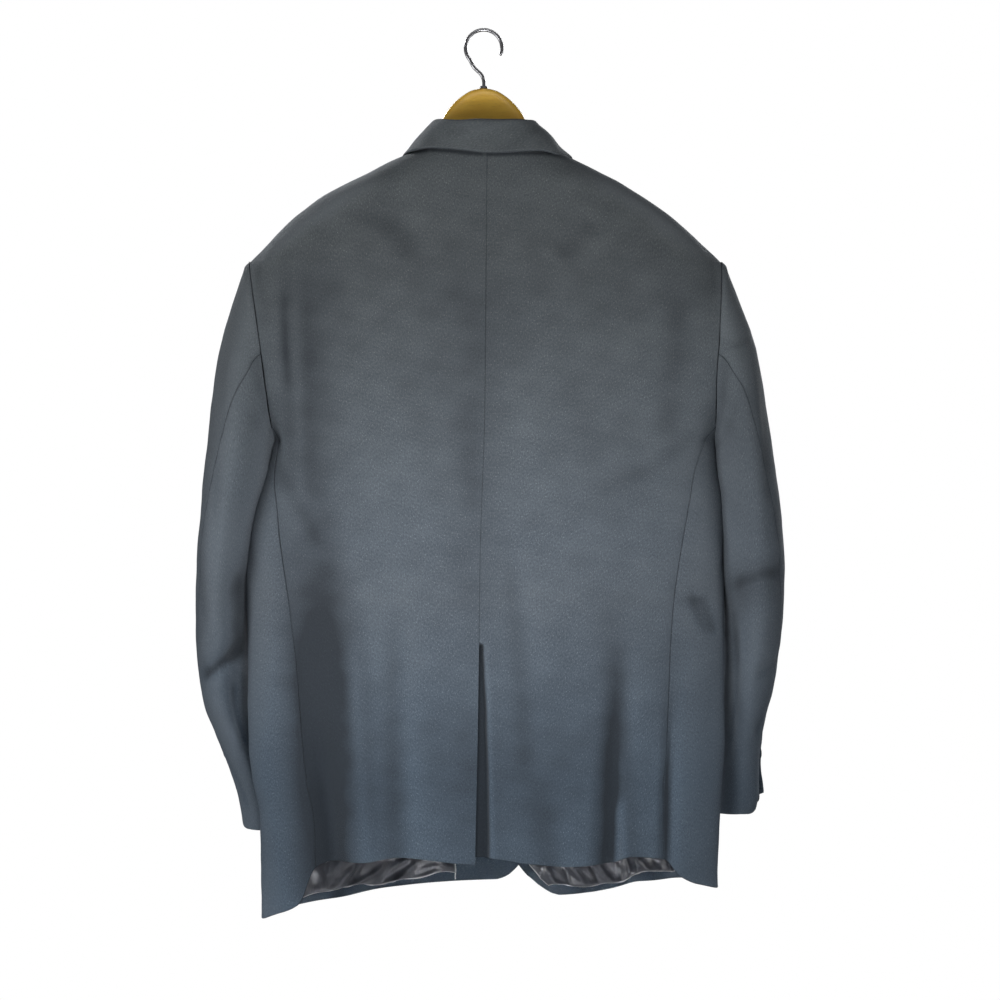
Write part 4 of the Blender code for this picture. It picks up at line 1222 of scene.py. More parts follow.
@dataclass(frozen=True)
class VarnishedWood:
    """Golden varnished hardwood, its grain running along the arms."""

    early: Colour = (0.88, 0.54, 0.07)
    late: Colour = (0.76, 0.42, 0.048)
    pore: Colour = (0.24, 0.1, 0.016)
    gloss: float = 0.34
    grain: float = 46.0

    def material(self, name: str) -> Material:
        """The wood as a material.

        Args:
            name: The material's name.

        Returns:
            The material.
        """
        m = new_mixture(name)
        place = m.room_place((1.4, 9.0, 7.0))
        warp = m.noise(m.room_place((2.0, 6.0, 6.0)), 5.0, 3.0)
        rings = m.part_of(place, "Z") + m.part_of(place, "Y") * 0.5 + warp * 0.9
        bands = (rings * self.grain).sine().between(-0.9, 1.0)
        pores = m.noise(m.room_place((60.0, 900.0, 900.0)), 2.2, 2.0).between(0.6, 0.74)
        tint = m.noise(place, 6.0, 3.0).between(0.3, 0.7)
        colour = m.mix(bands * 0.45 + tint * 0.25, self.early, self.late)
        colour = m.mix(pores * 0.35, colour, self.pore)
        return m.surface({
            "Base Color": colour,
            "Roughness": pores * 0.15 + self.gloss,
            "Normal": m.bump(1 - pores, 0.0002, 0.25),
            "Coat Weight": 0.3, "Coat Roughness": 0.2,
        })


@dataclass(frozen=True)
class BrushedSteel:
    """Drawn steel wire, with fine marks along it and a few dull places."""

    bright: Colour = (0.44, 0.44, 0.46)
    dull: Colour = (0.24, 0.24, 0.25)

    def material(self, name: str) -> Material:
        """The steel as a material.

        Args:
            name: The material's name.

        Returns:
            The material.
        """
        m = new_mixture(name)
        marks = m.noise(m.room_place((600.0, 600.0, 240.0)), 3.0, 2.0)
        patches = m.noise(m.room_place(), 90.0, 3.0).between(0.45, 0.7)
        return m.surface({
            "Base Color": m.mix(patches * 0.6, self.bright, self.dull),
            "Metallic": 1.0,
            "Roughness": marks * 0.18 + patches * 0.12 + 0.16,
            "Normal": m.bump(marks, 0.0002, 0.25),
        })


WHITE_THREAD, PALE_THREAD = (0.8, 0.8, 0.8), (0.95, 0.95, 0.95)


def made_once(finish: Union[Wool, Satin, Horn, Thread, VarnishedWood, BrushedSteel],
              name: str) -> Material:
    """A field that holds a finish's material, made with the class that has the field."""
    return field(default_factory=lambda: finish.material(name))


@dataclass(frozen=True)
class Looks:
    """Every finish of the coat, made once."""

    wool: Material = made_once(Wool(), "wool_cloth")
    satin: Material = made_once(Satin(), "satin_lining")
    horn: Material = made_once(Horn(), "dark_horn")
    thread: Material = made_once(Thread(), "sewing_thread")
    basting: Material = made_once(Thread(WHITE_THREAD, PALE_THREAD), "basting_thread")
    wood: Material = made_once(VarnishedWood(), "golden_wood")
    steel: Material = made_once(BrushedSteel(), "steel_wire")


# ---- where the cloth creases
BACK_CREASES = (
    Crease((0.19, -0.25), (0.181, -0.56), 0.027, 0.0026, bow=0.004, fades=0.8),
    Crease((0.182, -0.5), (0.168, -0.72), 0.027, 0.0038, fades=0.6),
    Crease((0.2165, -0.3), (0.2115, -0.385), 0.006, 0.0013, bow=0.001, fades=0.7),
    Crease((0.203, -0.29), (0.2, -0.5), 0.009, -0.0014, fades=0.7),
    Crease((0.124, -0.205), (0.07, -0.25), 0.016, 0.0014, fades=0.8),
    Crease((0.013, -0.4), (0.01, -0.54), 0.016, 0.0007),
    Crease((0.098, -0.66), (0.093, -0.905), 0.015, 0.0028),
    Crease((0.14, -0.68), (0.128, -0.905), 0.009, -0.0016),
    Crease((0.052, -0.7), (0.056, -0.88), 0.018, 0.001),
    Crease((-0.023, -0.56), (-0.045, -0.8), 0.014, 0.002, bow=-0.003),
    Crease((-0.062, -0.6), (-0.07, -0.82), 0.02, -0.001),
    Crease((-0.212, -0.3), (-0.2, -0.45), 0.018, 0.0021),
    Crease((-0.147, -0.84), (-0.145, -0.92), 0.008, -0.002),
    Crease((-0.235, -0.44), (-0.14, -0.5), 0.012, 0.0013, bow=-0.004),
    Crease((-0.118, -0.215), (-0.08, -0.252), 0.018, 0.0016),
    Crease((0.229, -0.47), (0.18, -0.56), 0.01, 0.0013),
)
FRONT_CREASES = (
    Crease((-0.03, -0.57), (-0.15, -0.5), 0.011, 0.002, bow=0.006),
    Crease((-0.03, -0.585), (-0.16, -0.62), 0.012, 0.0018, bow=-0.006),
    Crease((0.03, -0.57), (0.15, -0.505), 0.011, 0.0022, bow=-0.006),
    Crease((0.03, -0.585), (0.165, -0.63), 0.013, 0.0018, bow=0.006),
    Crease((0.06, -0.545), (0.11, -0.45), 0.012, 0.0012),
    Crease((0.205, -0.27), (0.195, -0.47), 0.014, 0.0028, bow=0.004),
    Crease((-0.21, -0.275), (-0.198, -0.46), 0.014, 0.003, bow=-0.004),
    Crease((0.13, -0.76), (0.14, -0.93), 0.016, 0.0024),
    Crease((-0.14, -0.755), (-0.148, -0.93), 0.015, 0.0026),
    Crease((-0.06, -0.72), (-0.05, -0.9), 0.02, 0.0016),
    Crease((0.06, -0.73), (0.052, -0.9), 0.02, -0.0014),
    Crease((0.235, -0.45), (0.15, -0.52), 0.012, 0.0016, bow=0.004),
    Crease((-0.235, -0.455), (-0.15, -0.52), 0.012, 0.0016, bow=-0.004),
)
SIDE_CREASES = {
    "left": (
        Crease((-0.02, -0.47), (0.03, -0.6), 0.01, 0.0014),
        Crease((0.02, -0.64), (-0.01, -0.9), 0.012, 0.002),
        Crease((-0.03, -0.7), (-0.035, -0.93), 0.01, -0.0012),
    ),
    "right": (
        Crease((0.046, -0.618), (0.032, -0.662), 0.009, 0.0032),
        Crease((0.036, -0.69), (0.04, -0.88), 0.01, 0.0014),
        Crease((-0.02, -0.48), (0.02, -0.6), 0.01, 0.0014),
        Crease((-0.01, -0.7), (-0.02, -0.92), 0.012, 0.0018),
    ),
}
PER_DEGREE = 0.001           # a sleeve's first coordinate, for each degree of the turn round it
SLEEVE_CREASES = {
    "left": (
        Crease((0.046, -0.708), (-0.06, -0.68), 0.011, 0.0048, bow=0.003, steep=0.8),
        Crease((0.05, -0.684), (-0.03, -0.655), 0.01, -0.001),
        Crease((0.05, -0.728), (-0.01, -0.714), 0.01, -0.001),
        Crease((-0.05, -0.6), (-0.056, -0.7), 0.024, 0.004),
        Crease((-0.04, -0.715), (-0.03, -0.79), 0.013, 0.0044),
        Crease((0.06, -0.33), (0.02, -0.44), 0.014, 0.0018),
        Crease((0.085, -0.5), (0.03, -0.64), 0.015, 0.0016),
        Crease((0.02, -0.47), (0.0, -0.6), 0.012, 0.0014),
        Crease((0.15, -0.63), (0.205, -0.655), 0.011, 0.0042, bow=-0.004),
        Crease((0.135, -0.68), (0.2, -0.694), 0.012, 0.0048, bow=-0.004),
        Crease((0.14, -0.735), (0.2, -0.735), 0.011, 0.0032),
        Crease((-0.16, -0.65), (-0.11, -0.668), 0.012, 0.0036),
        Crease((-0.16, -0.694), (-0.105, -0.7), 0.012, 0.004),
        Crease((0.12, -0.36), (0.15, -0.5), 0.015, 0.002),
        Crease((0.06, -0.79), (0.03, -0.86), 0.012, 0.0014),
        Crease((-0.09, -0.455), (-0.09, -0.77), 0.05, -0.006, fades=0.25),
    ),
    "right": (
        Crease((0.044, -0.594), (-0.054, -0.606), 0.013, 0.0034, bow=-0.002),
        Crease((0.05, -0.568), (-0.02, -0.578), 0.011, -0.0012),
        Crease((0.012, -0.349), (0.078, -0.338), 0.006, 0.0018),
        Crease((-0.05, -0.65), (-0.038, -0.8), 0.015, 0.0034),
        Crease((0.08, -0.69), (0.0, -0.712), 0.012, 0.0022),
        Crease((0.06, -0.4), (0.02, -0.52), 0.014, 0.0018),
        Crease((0.08, -0.745), (0.03, -0.77), 0.01, 0.0016),
        Crease((0.15, -0.6), (0.205, -0.62), 0.011, 0.004, bow=-0.004),
        Crease((0.135, -0.655), (0.2, -0.665), 0.012, 0.0044, bow=-0.004),
        Crease((0.14, -0.712), (0.2, -0.708), 0.011, 0.0028),
        Crease((-0.16, -0.62), (-0.11, -0.636), 0.012, 0.0034),
        Crease((-0.16, -0.665), (-0.105, -0.67), 0.012, 0.0036),
        Crease((0.12, -0.36), (0.155, -0.5), 0.015, 0.002),
        Crease((-0.09, -0.445), (-0.09, -0.62), 0.05, -0.0052, fades=0.3),
    ),
}
# Painted shade where the cloth is to look darker than its folds alone would make it, and a painted
# shadow under the collar's edge; a depth is a share of painted darkness, and a depth below 0
# paints highlight.
BACK_SHADES = (
    Crease((0.25, -0.275), (-0.25, -0.275), 0.13, 0.4, fades=0.05),
    Crease((0.25, -0.81), (-0.15, -0.81), 0.062, 0.32, fades=0.3),
    Crease((0.185, -0.29), (0.179, -0.69), 0.036, 0.36, fades=0.7),
    Crease((0.214, -0.31), (0.211, -0.57), 0.024, 0.24, fades=0.5),
    Crease((0.014, -0.29), (0.012, -0.64), 0.03, 0.33, fades=0.5),
    Crease((0.06, -0.36), (0.058, -0.52), 0.03, 0.15, fades=0.8),
    Crease((0.157, -0.985), (0.174, -0.62), 0.05, 1.04, steep=0.6, fades=0.62),
    Crease((0.19, -0.985), (0.19, -0.65), 0.024, 0.46, fades=0.4),
    # painted highlight along the shoulders
    Crease((0.1, -0.13), (0.262, -0.25), 0.016, -0.9, bow=-0.008, fades=0.3),
    Crease((-0.095, -0.13), (-0.262, -0.25), 0.016, -0.9, bow=0.008, fades=0.3),
    Crease((0.216, -0.285), (0.212, -0.4), 0.008, 0.12, fades=0.7),
    Crease((0.124, -0.205), (0.07, -0.25), 0.018, 0.12, fades=0.8),
    Crease((0.026, -0.7), (0.01, -0.96), 0.028, 0.26, fades=0.6),
    Crease((0.112, -0.7), (0.1, -0.96), 0.018, 0.14, fades=0.6),
    Crease((-0.045, -0.68), (-0.055, -0.98), 0.04, 0.26, fades=0.6),
    Crease((-0.225, -0.62), (-0.2, -0.96), 0.05, 0.2, fades=0.4),
    Crease((-0.12, -0.4), (-0.13, -0.56), 0.05, 0.16, fades=0.8),
    Crease((-0.138, -0.65), (-0.12, -0.96), 0.021, 0.55, fades=0.5),
    Crease((-0.144, -0.76), (-0.146, -0.96), 0.006, -0.34, fades=0.5),
    Crease((-0.153, -0.77), (-0.158, -0.96), 0.01, 0.52, fades=0.5),
    Crease((-0.198, -0.7), (-0.192, -0.96), 0.013, 0.26, fades=0.6),
    Crease((-0.215, -0.29), (-0.205, -0.46), 0.016, 0.1, fades=0.7),
    Crease((-0.222, -0.612), (-0.2385, -0.657), 0.0048, 0.42, bow=0.003, fades=0.6),
    Crease((-0.241, -0.628), (-0.247, -0.658), 0.012, 0.24, fades=0.9),
    # painted shadow under the collar's edge
    Crease((0.002, -0.1416), (0.06, -0.1356), 0.0026, 0.9, fades=0.1),
    Crease((0.062, -0.1356), (0.088, -0.139), 0.0026, 0.9, fades=0.1),
    Crease((0.0, -0.1416), (-0.066, -0.1398), 0.0026, 0.9, fades=0.1),
    Crease((-0.066, -0.1398), (-0.092, -0.1432), 0.0026, 0.9, fades=0.1),
)
# painted shade on the sleeves; a depth below 0 paints highlight
SLEEVE_SHADES = {
    "left": (
        Crease((-0.016, -0.33), (-0.042, -0.525), 0.028, 0.42, fades=0.5),
        Crease((-0.07, -0.58), (-0.066, -0.69), 0.036, 0.95, fades=0.5),
        Crease((0.034, -0.706), (-0.075, -0.662), 0.012, 0.42, bow=0.003, fades=0.5),
        Crease((-0.017, -0.7), (-0.017, -0.765), 0.013, 0.34, fades=0.5),
        Crease((-0.064, -0.73), (-0.06, -0.88), 0.018, -0.6, fades=0.3),
        Crease((0.01, -0.74), (0.01, -0.895), 0.08, -0.3, fades=0.3),
    ),
    "right": (
        Crease((0.047, -0.604), (-0.06, -0.616), 0.032, 0.56),
        Crease((-0.042, -0.6), (-0.044, -0.7), 0.024, 0.3, fades=0.3),
        Crease((0.02, -0.82), (0.02, -0.9), 0.06, 0.12),
        Crease((-0.01, -0.37), (0.0, -0.58), 0.07, 0.52, fades=0.5),
        Crease((-0.06, -0.7), (-0.06, -0.9), 0.018, -0.8, fades=0.3),
    ),
}
# The satin's pleats, which slant towards the centre and bunch where the hem is stitched.
LINING_CREASES = {
    "left": (
        Crease((0.19, -0.925), (0.18, -0.956), 0.009, -0.0022, fades=0.6),
        Crease((0.15, -0.927), (0.175, -0.956), 0.004, -0.003),
        Crease((0.145, -0.927), (0.164, -0.956), 0.0026, 0.003),
        Crease((0.156, -0.952), (0.118, -0.927), 0.0036, -0.0032),
        Crease((0.145, -0.952), (0.108, -0.929), 0.003, 0.0026),
        Crease((0.138, -0.945), (0.093, -0.922), 0.0034, -0.003),
        Crease((0.127, -0.948), (0.088, -0.925), 0.003, 0.0026),
        Crease((0.115, -0.954), (0.082, -0.926), 0.0024, -0.0026),
        Crease((0.101, -0.943), (0.04, -0.933), 0.0024, -0.0022, bow=-0.006),
        Crease((0.092, -0.937), (0.048, -0.931), 0.005, 0.0022),
        Crease((0.056, -0.922), (0.042, -0.935), 0.003, -0.0018),
    ),
    "right": (
        Crease((-0.068, -0.933), (-0.085, -0.956), 0.0052, -0.003),
        Crease((-0.09, -0.928), (-0.097, -0.952), 0.0026, 0.0026),
        Crease((-0.097, -0.926), (-0.113, -0.948), 0.004, -0.0028),
        Crease((-0.117, -0.924), (-0.126, -0.944), 0.0026, 0.0024),
        Crease((-0.123, -0.922), (-0.144, -0.942), 0.0042, -0.0028),
        Crease((-0.15, -0.92), (-0.154, -0.94), 0.003, 0.0026),
        Crease((-0.159, -0.918), (-0.167, -0.936), 0.003, -0.0026),
        Crease((-0.17, -0.918), (-0.174, -0.935), 0.0022, 0.0022),
        Crease((-0.174, -0.919), (-0.189, -0.935), 0.0036, -0.0026),
        Crease((-0.193, -0.918), (-0.197, -0.934), 0.003, 0.0024),
        Crease((-0.2, -0.919), (-0.211, -0.935), 0.0042, -0.0024),
    ),
}
SURFACE_SHIFT = {"body": 0.7, "left": 2.1, "right": 4.4}


def dressed(points: Array, outward: Array, creases: Sequence[Crease], across: Array,
            down: Array, shift: float) -> tuple[Array, Array]:
    """Lays creases and a slight ripple over a smooth grid of places.

    Args:
        points: The places.
        outward: Roughly which way is out, at each.
        creases: The creases.
        across: Each place's first coordinate for the creases.
        down: Its second one.
        shift: Where the ripple starts.

    Returns:
        The new places and their normals.
    """
    normals = unit(eased(facing(points, outward), 4))
    heights = creased(creases, across, down) + ripple(across, down, shift)
    laid = points + normals * heights[..., None]
    return laid, facing(laid, outward)


# ---- cloth pieces in general
class Held(Enum):
    """How a sheet of cloth is held."""

    HUNG = "hung"
    FOLDED = "folded"


@dataclass(frozen=True)
class ClothPiece:
    """A cut and sewn piece, which takes the place of a solid of the same form.

    part is the solid's name, carried_by names what holds the piece up, and finish names the
    finishes of its outer face and of its lined places, if it has any.
    """

    part: ClassVar[str]
    carried_by: ClassVar[tuple[str, ...]] = ("hanger",)
    held: ClassVar[Held] = Held.HUNG
    finish: ClassVar[tuple[str, ...]] = ("wool", "satin")

    def node(self) -> str:
        """The name of the solid."""
        return self.part

    def rests_on(self) -> list[str]:
        """What holds it up."""
        return list(self.carried_by)

    def shell(self) -> Shell:
        """The piece's form."""
        raise NotImplementedError

    def build(self, looks: Looks) -> None:
        """Makes the piece in its finishes, hides its solid and logs its size.

        Args:
            looks: The finishes.
        """
        shell = self.shell()
        made = shell.build([getattr(looks, name) for name in self.finish])
        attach(made, "root")
        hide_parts(self.node())
        width, length, area = shell.flat_size()
        self.rests_on()
        LOG.info("%s: %d faces, cut %.0f by %.0f mm", made.name, len(made.data.polygons),
                 width * 1000, length * 1000)


@dataclass(frozen=True)
class HalfPiece(ClothPiece):
    """A piece of the left or the right half, whose names all end in the side's."""

    side: Side

    def sided(self, name: str) -> str:
        """A name with the side's after it."""
        return f"{name}_{self.side.name}"

    def node(self) -> str:
        """The name of the solid."""
        return self.sided(self.part)

    def rests_on(self) -> list[str]:
        """What holds it up."""
        sewn_to = [self.sided(name) for name in self.carried_by if name != "hanger"]
        return sewn_to or super().rests_on()


def facing_inside(hem: float, first_edge: float,
                  last_edge: float = 0.0) -> Callable[[Array, Array], Array]:
    """Says where a panel's inside is lined rather than faced with its own cloth.

    Args:
        hem: How wide the facing is along the hem.
        first_edge: How wide it is along the first column's edge.
        last_edge: How wide it is along the last column's edge.

    Returns:
        A function of the places across and down the piece.
    """
    def lined(across: Array, down: Array) -> Array:
        """Whether each place is lined."""
        above_hem = down[-1:] - down > hem
        from_last = across[:, -1:] - across
        inside = (across.mean(axis=0) > first_edge) & (from_last.mean(axis=0) > last_edge)
        return above_hem & inside[None, :]
    return lined


def rows_down(top: float, bottom: float, spacing: float = FINE, also: Sequence[float] = (),
              start: bool = False) -> Array:
    """Heights of a panel's rows, closer together at its hem and at some others."""
    rows = top + (bottom - top) * edge_refined(top - bottom, spacing, start, True)
    return -np.unique(np.round(-np.concatenate([rows, also]), 5))


BODY_ROWS = rows_down(NECK_Z, HEM_Z, also=(
    -0.1325, -0.135, -0.137, -0.139, -0.1405, -0.1425, -0.1445,
    SHOULDER_Z, -0.2543, -0.256, -0.666, VENT_Z, -0.6695, -0.671, -0.6725,
    -0.674, -0.676, -0.678, -0.681))
SEAM_JOIN = -0.00012
BODY_PUCKER = 0.00012
ARMHOLE_EASES = 0.03         # how far up and down the back's places are averaged
ARMHOLE_EASED_TO = 0.052     # and how far from the armhole's ends that reaches
ARMHOLE_KEEPS = 0.014        # the widths beside the armhole and the centre that stay
CENTRE_KEEPS = 0.02


def outer_edge(side: Side, z: Array, front: bool) -> Array:
    """Where a back or front ends: at the shoulder, the armhole or the side seam.

    Args:
        side: The side of the coat.
        z: Cut heights.
        front: Whether it is the front.

    Returns:
        Angles in degrees.
    """
    at_armhole = BODY.armhole_angle(np.clip(z, ARMPIT_Z + SMALL, SHOULDER_Z))
    at_armhole = 180 - at_armhole if front else at_armhole
    at_side = FRONT_SEAM(z) if front else side.back_seam(z)
    return np.where(z >= SHOULDER_Z, 90.0, np.where(z > SIDE_SEAM_Z, at_armhole, at_side))


def from_axis(points: Array) -> Array:
    """Directions from the coat's upright axis."""
    return points * np.array([1.0, 1.0, 0.0])


def past_armhole(points: Array, z: Array) -> Array:
    """A back's places, with the bends at the height of the armhole's ends eased.

    Args:
        points: The places.
        z: The height of each row.

    Returns:
        The places, which stay where they were at the edges.
    """
    near = hump(z[:, None] - z[None], ARMHOLE_EASES) * np.abs(np.gradient(z))[None]
    near = near / near.sum(axis=1, keepdims=True)
    across = running_length(points, 1)
    from_armhole, from_centre = across[:, -1:] - across, across
    inside = smoothstep(from_armhole / ARMHOLE_KEEPS) * smoothstep(from_centre / CENTRE_KEEPS)
    share = sum(np.exp(-(((z[:, None] - level) / ARMHOLE_EASED_TO) ** 4))
                for level in (SHOULDER_Z, ARMPIT_Z))
    moved = points.copy()
    for axis in (0, 1):
        moved[..., axis] += (near @ points[..., axis] - points[..., axis]) * share * inside
    return moved


def dressed_body(side: Side, angles: Array, z: Array, layer: Layer,
                 creases: Sequence[Crease], smooth: bool = False) -> tuple[Array, Array]:
    """The creased outer face of a back or a front over a grid of angles and heights.

    Args:
        side: The side of the coat.
        angles: Angles in degrees.
        z: Cut heights.
        layer: The layer of cloth.
        creases: Its creases.
        smooth: Whether it is eased at the shoulder.

    Returns:
        The places and their normals.
    """
    points = BODY.point(side, angles, z, layer)
    if smooth:
        points = past_armhole(points, z[:, 0])
    across = points[..., 0] + HANGS_OFF_CENTRE
    return dressed(points, from_axis(points), creases, across, points[..., 2],
                   SURFACE_SHIFT["body"])


# ---- the body's panels
@dataclass(frozen=True)
class Back(HalfPiece):
    """Half of the back, from the centre seam and vent to the side."""

    part = "back"
    width: float = 0.29
    underlap: float = 0.03
    underlap_starts: float = 0.004
    underlap_run: float = 0.012
    dense_to: float = 0.022
    dense_width: float = 0.05
    rest_width: float = 0.27
    dense_spacing: float = 0.0012
    hem_facing: float = 0.038
    vent_facing: float = 0.034
    # how dark the painted shade under the vent's flap is
    in_vent: float = 1.3
    open_edge: float = 0.0012
    vent_within: float = 30.0
    shoulder_past: float = 60.0

    def start_x(self, z: Array) -> Array:
        """How far the first column lies from the centre, on the side's own arm.

        Args:
            z: Cut heights.

        Returns:
            The distances.
        """
        if self.side is LEFT:
            return CENTRE_SEAM(z) + SEAM_JOIN
        past_top = smoothstep((VENT_Z - self.underlap_starts - z) / self.underlap_run)
        return SEAM_JOIN - CENTRE_SEAM(z) - self.underlap * past_top

    def shell(self) -> Shell:
        """The panel's form.

        Returns:
            The shell.
        """
        z = BODY_ROWS
        layer = Layer.OUTSIDE if self.side is LEFT else Layer.UNDER_VENT
        start = BODY.angle_at(self.side, self.start_x(z), z, layer)
        end = outer_edge(self.side, z, False)
        warp_column = 0
        if self.side is LEFT:
            angles = BODY.rows_in_two(self.side, z, start, end, edge_refined(self.width), layer)
        else:
            middle = BODY.angle_at(self.side, np.full_like(z, self.dense_to), z, layer)
            dense = edge_refined(self.dense_width, self.dense_spacing, True, False)
            first = BODY.rows_of_angles(self.side, z, start, middle, dense, layer)
            sparse = edge_refined(self.rest_width, FINE, False)
            rest = BODY.rows_in_two(self.side, z, middle, end, sparse, layer)
            angles = np.concatenate([first, rest[:, 1:]], axis=1)
            warp_column = first.shape[1] - 1
        cut_z = np.broadcast_to(z[:, None], angles.shape)
        points, normals = dressed_body(self.side, angles, cut_z, layer, BACK_CREASES, True)
        # painted shade under the vent's flap, then the painted shade strokes
        shaded = BODY.step(layer, points[..., 0], cut_z) / BODY.vent_step * self.in_vent
        shaded = shaded - creased(BACK_SHADES, points[..., 0], points[..., 2])
        # less painted seam shade along the vent's free edges and the shoulder seams
        at_vent = (cut_z < VENT_Z) & (angles < self.vent_within)
        on_shoulder = (cut_z > SHOULDER_Z) & (angles > self.shoulder_past)
        return Shell(self.sided("back_cloth"), points, normals, seam_pucker=BODY_PUCKER,
                     soft_edges=(True, True, False, True),
                     lined=facing_inside(self.hem_facing, self.vent_facing), shaded=shaded,
                     open_edges=self.open_edge * (at_vent | on_shoulder), warp_column=warp_column)


@dataclass(frozen=True)
class SidePanel(HalfPiece):
    """The narrow panel under the arm."""

    part = "side_panel"
    carried_by = ("back_cloth", "front_cloth")
    width: float = 0.11
    hem_facing: float = 0.038
    shade_reach: float = 0.04

    def armhole_floor(self, angle: Array) -> Array:
        """The height of the armhole's lower curve at an angle.

        Args:
            angle: Angles in degrees.

        Returns:
            The heights.
        """
        share = np.abs(np.cos(np.radians(angle))) ** (2 / BACK_ROUNDNESS) / ARMHOLE_DEPTH_SHARE
        middle = (SHOULDER_Z + ARMPIT_Z) / 2
        return middle - (SHOULDER_Z - middle) * np.sqrt(np.maximum(0.0, 1 - share * share))

    def shell(self) -> Shell:
        """The panel's form, whose top dips to the armhole's floor.

        Returns:
            The shell.
        """
        z = rows_down(SIDE_SEAM_Z, HEM_Z, start=True)
        back, ahead = self.side.back_seam(z), FRONT_SEAM(z)
        angles = BODY.rows_of_angles(self.side, z, back, ahead, edge_refined(self.width))
        top = BODY.armhole_angle(SIDE_SEAM_Z)
        share = (angles - back[:, None]) / (ahead - back)[:, None]
        dip = self.armhole_floor(top + (180 - 2 * top) * share) - SIDE_SEAM_Z
        fade = smoothstep((z - SIDE_DIP_ENDS_Z) / (SIDE_SEAM_Z - SIDE_DIP_ENDS_Z))
        points = BODY.point(self.side, angles, z[:, None] + dip * fade[:, None])
        laid, normals = dressed(points, from_axis(points), SIDE_CREASES[self.side.name],
                                points[..., 1], points[..., 2], SURFACE_SHIFT[self.side.name])
        # the back's painted shade strokes, on the part of the panel that faces back
        behind = smoothstep(points[..., 1] / self.shade_reach + 0.5)
        shaded = -creased(BACK_SHADES, points[..., 0], points[..., 2]) * behind
        return Shell(self.sided("side_cloth"), laid, normals, seam_pucker=BODY_PUCKER,
                     lined=facing_inside(self.hem_facing, 0.0), shaded=shaded)


def front_layer(side: Side) -> Layer:
    """The right front closes under the left one."""
    return Layer.UNDER_FRONT if side is RIGHT else Layer.OUTSIDE


@dataclass(frozen=True)
class Front(HalfPiece):
    """Half of the front, from its free edge to the side."""

    part = "front"
    width: float = 0.25
    hem_facing: float = 0.03
    edge_facing: float = 0.075

    def face(self, inner_edge: Curve, z: Array, shares: Array) -> tuple[Array, Array]:
        """Its creased outer face past an edge, over rows and shares of their length.

        Args:
            inner_edge: Where its rows begin, by height.
            z: The rows' cut heights.
            shares: Shares of a row's length.

        Returns:
            The places and their normals.
        """
        layer = front_layer(self.side)
        edge = BODY.angle_at(self.side, inner_edge(z), z, layer, True)
        angles = BODY.rows_in_two(self.side, z, edge, outer_edge(self.side, z, True), shares,
                                  layer, True)
        cut_z = np.broadcast_to(z[:, None], angles.shape)
        return dressed_body(self.side, angles, cut_z, layer, FRONT_CREASES)

    def places(self, x: Array, z: Array) -> tuple[Array, Array]:
        """Places and normals on its outer face, at distances from the centre and heights.

        Args:
            x: Distances from the centre.
            z: Cut heights.

        Returns:
            The places and their normals.
        """
        layer = front_layer(self.side)
        angles = BODY.angle_at(self.side, x, z, layer, True)
        return dressed_body(self.side, angles, z, layer, FRONT_CREASES)

    def shell(self) -> Shell:
        """The panel's form.

        Returns:
            The shell.
        """
        shares = edge_refined(self.width)
        points, normals = self.face(self.side.front_edge, BODY_ROWS, shares)
        return Shell(self.sided("front_cloth"), points, normals, seam_pucker=BODY_PUCKER,
                     lined=facing_inside(self.hem_facing, self.edge_facing))


@dataclass(frozen=True)
class Lining(HalfPiece):
    """The satin inside a front, where it shows below the back's hem."""

    part = "lining"
    carried_by = ("front_cloth",)
    finish = ("satin",)
    top_z: float = -0.815
    bottom_z: float = -0.914
    pleat: float = 0.0007
    pleat_length: float = 0.0061
    lean: float = 1.15
    wander: float = 0.007
    wander_length: float = 0.023
    fine_length: float = 0.0033
    fine_lean: float = 0.4
    hem_waves: tuple[tuple[float, float, float], ...] = (
        (0.0026, 0.019, 0.8), (0.0014, 0.0083, 0.0))
    base: float = 0.0034
    least: float = 0.0005
    soft: float = 0.0008
    width: float = 0.21
    spacing: float = 0.0018
    hem: float = 0.0009
    hem_at: float = 0.0035
    hem_width: float = 0.0022

    def puckers(self, points: Array, across: Array, down: Array) -> Array:
        """Listed slanting pleats, over finer ones, and a turned hem.

        Args:
            points: Places on the front's outer face.
            across: How far across the lining each lies.
            down: How far down it.

        Returns:
            How far the satin stands off its seat.
        """
        to_hem = down[-1:] - down
        placed = creased(LINING_CREASES[self.side.name], points[..., 0], points[..., 2])
        slant = across - self.lean * down + self.wander * np.sin(across / self.wander_length)
        crossing = (across + self.fine_lean * down) / self.fine_length
        waves = np.sin(slant / self.pleat_length) * 0.6 + np.sin(crossing + 2.0) * 0.3
        hem = self.hem * hump(to_hem - self.hem_at, self.hem_width)
        spare = (self.base + placed + self.pleat * waves - self.least) / self.soft
        return self.least + self.soft * np.logaddexp(0.0, spare) + hem

    def shell(self) -> Shell:
        """The lining's form, whose outer face is the one that shows inside the coat.

        Returns:
            The shell.
        """
        drop = self.top_z - self.bottom_z
        z = self.top_z - drop * edge_refined(drop, self.spacing, False)
        shares = edge_refined(self.width, self.spacing)
        points, normals = Front(self.side).face(self.side.lining_edge, z, shares)
        across, down = laid_flat(points)
        seat = CLOTH + SEAM_GAP + LINING
        heights = seat + self.puckers(points, across, down)
        laid = points - normals * heights[..., None]
        wave = sum(height * np.sin(across / length + phase)
                   for height, length, phase in self.hem_waves)
        laid[..., 2] += wave * (down / down[-1:]) ** 4
        return Shell(self.sided("lining_satin"), laid, facing(laid, -normals), thickness=LINING,
                     soft_edges=(False, True, True, False), roll=0.0014)


# ---- collar and lapels
@dataclass(frozen=True)
class CollarPlace:
    """One section through the collar: its stand's foot, its fold and its fall's edge."""

    base: tuple[float, float, float]
    fold: tuple[float, float, float]
    edge: tuple[float, float, float]


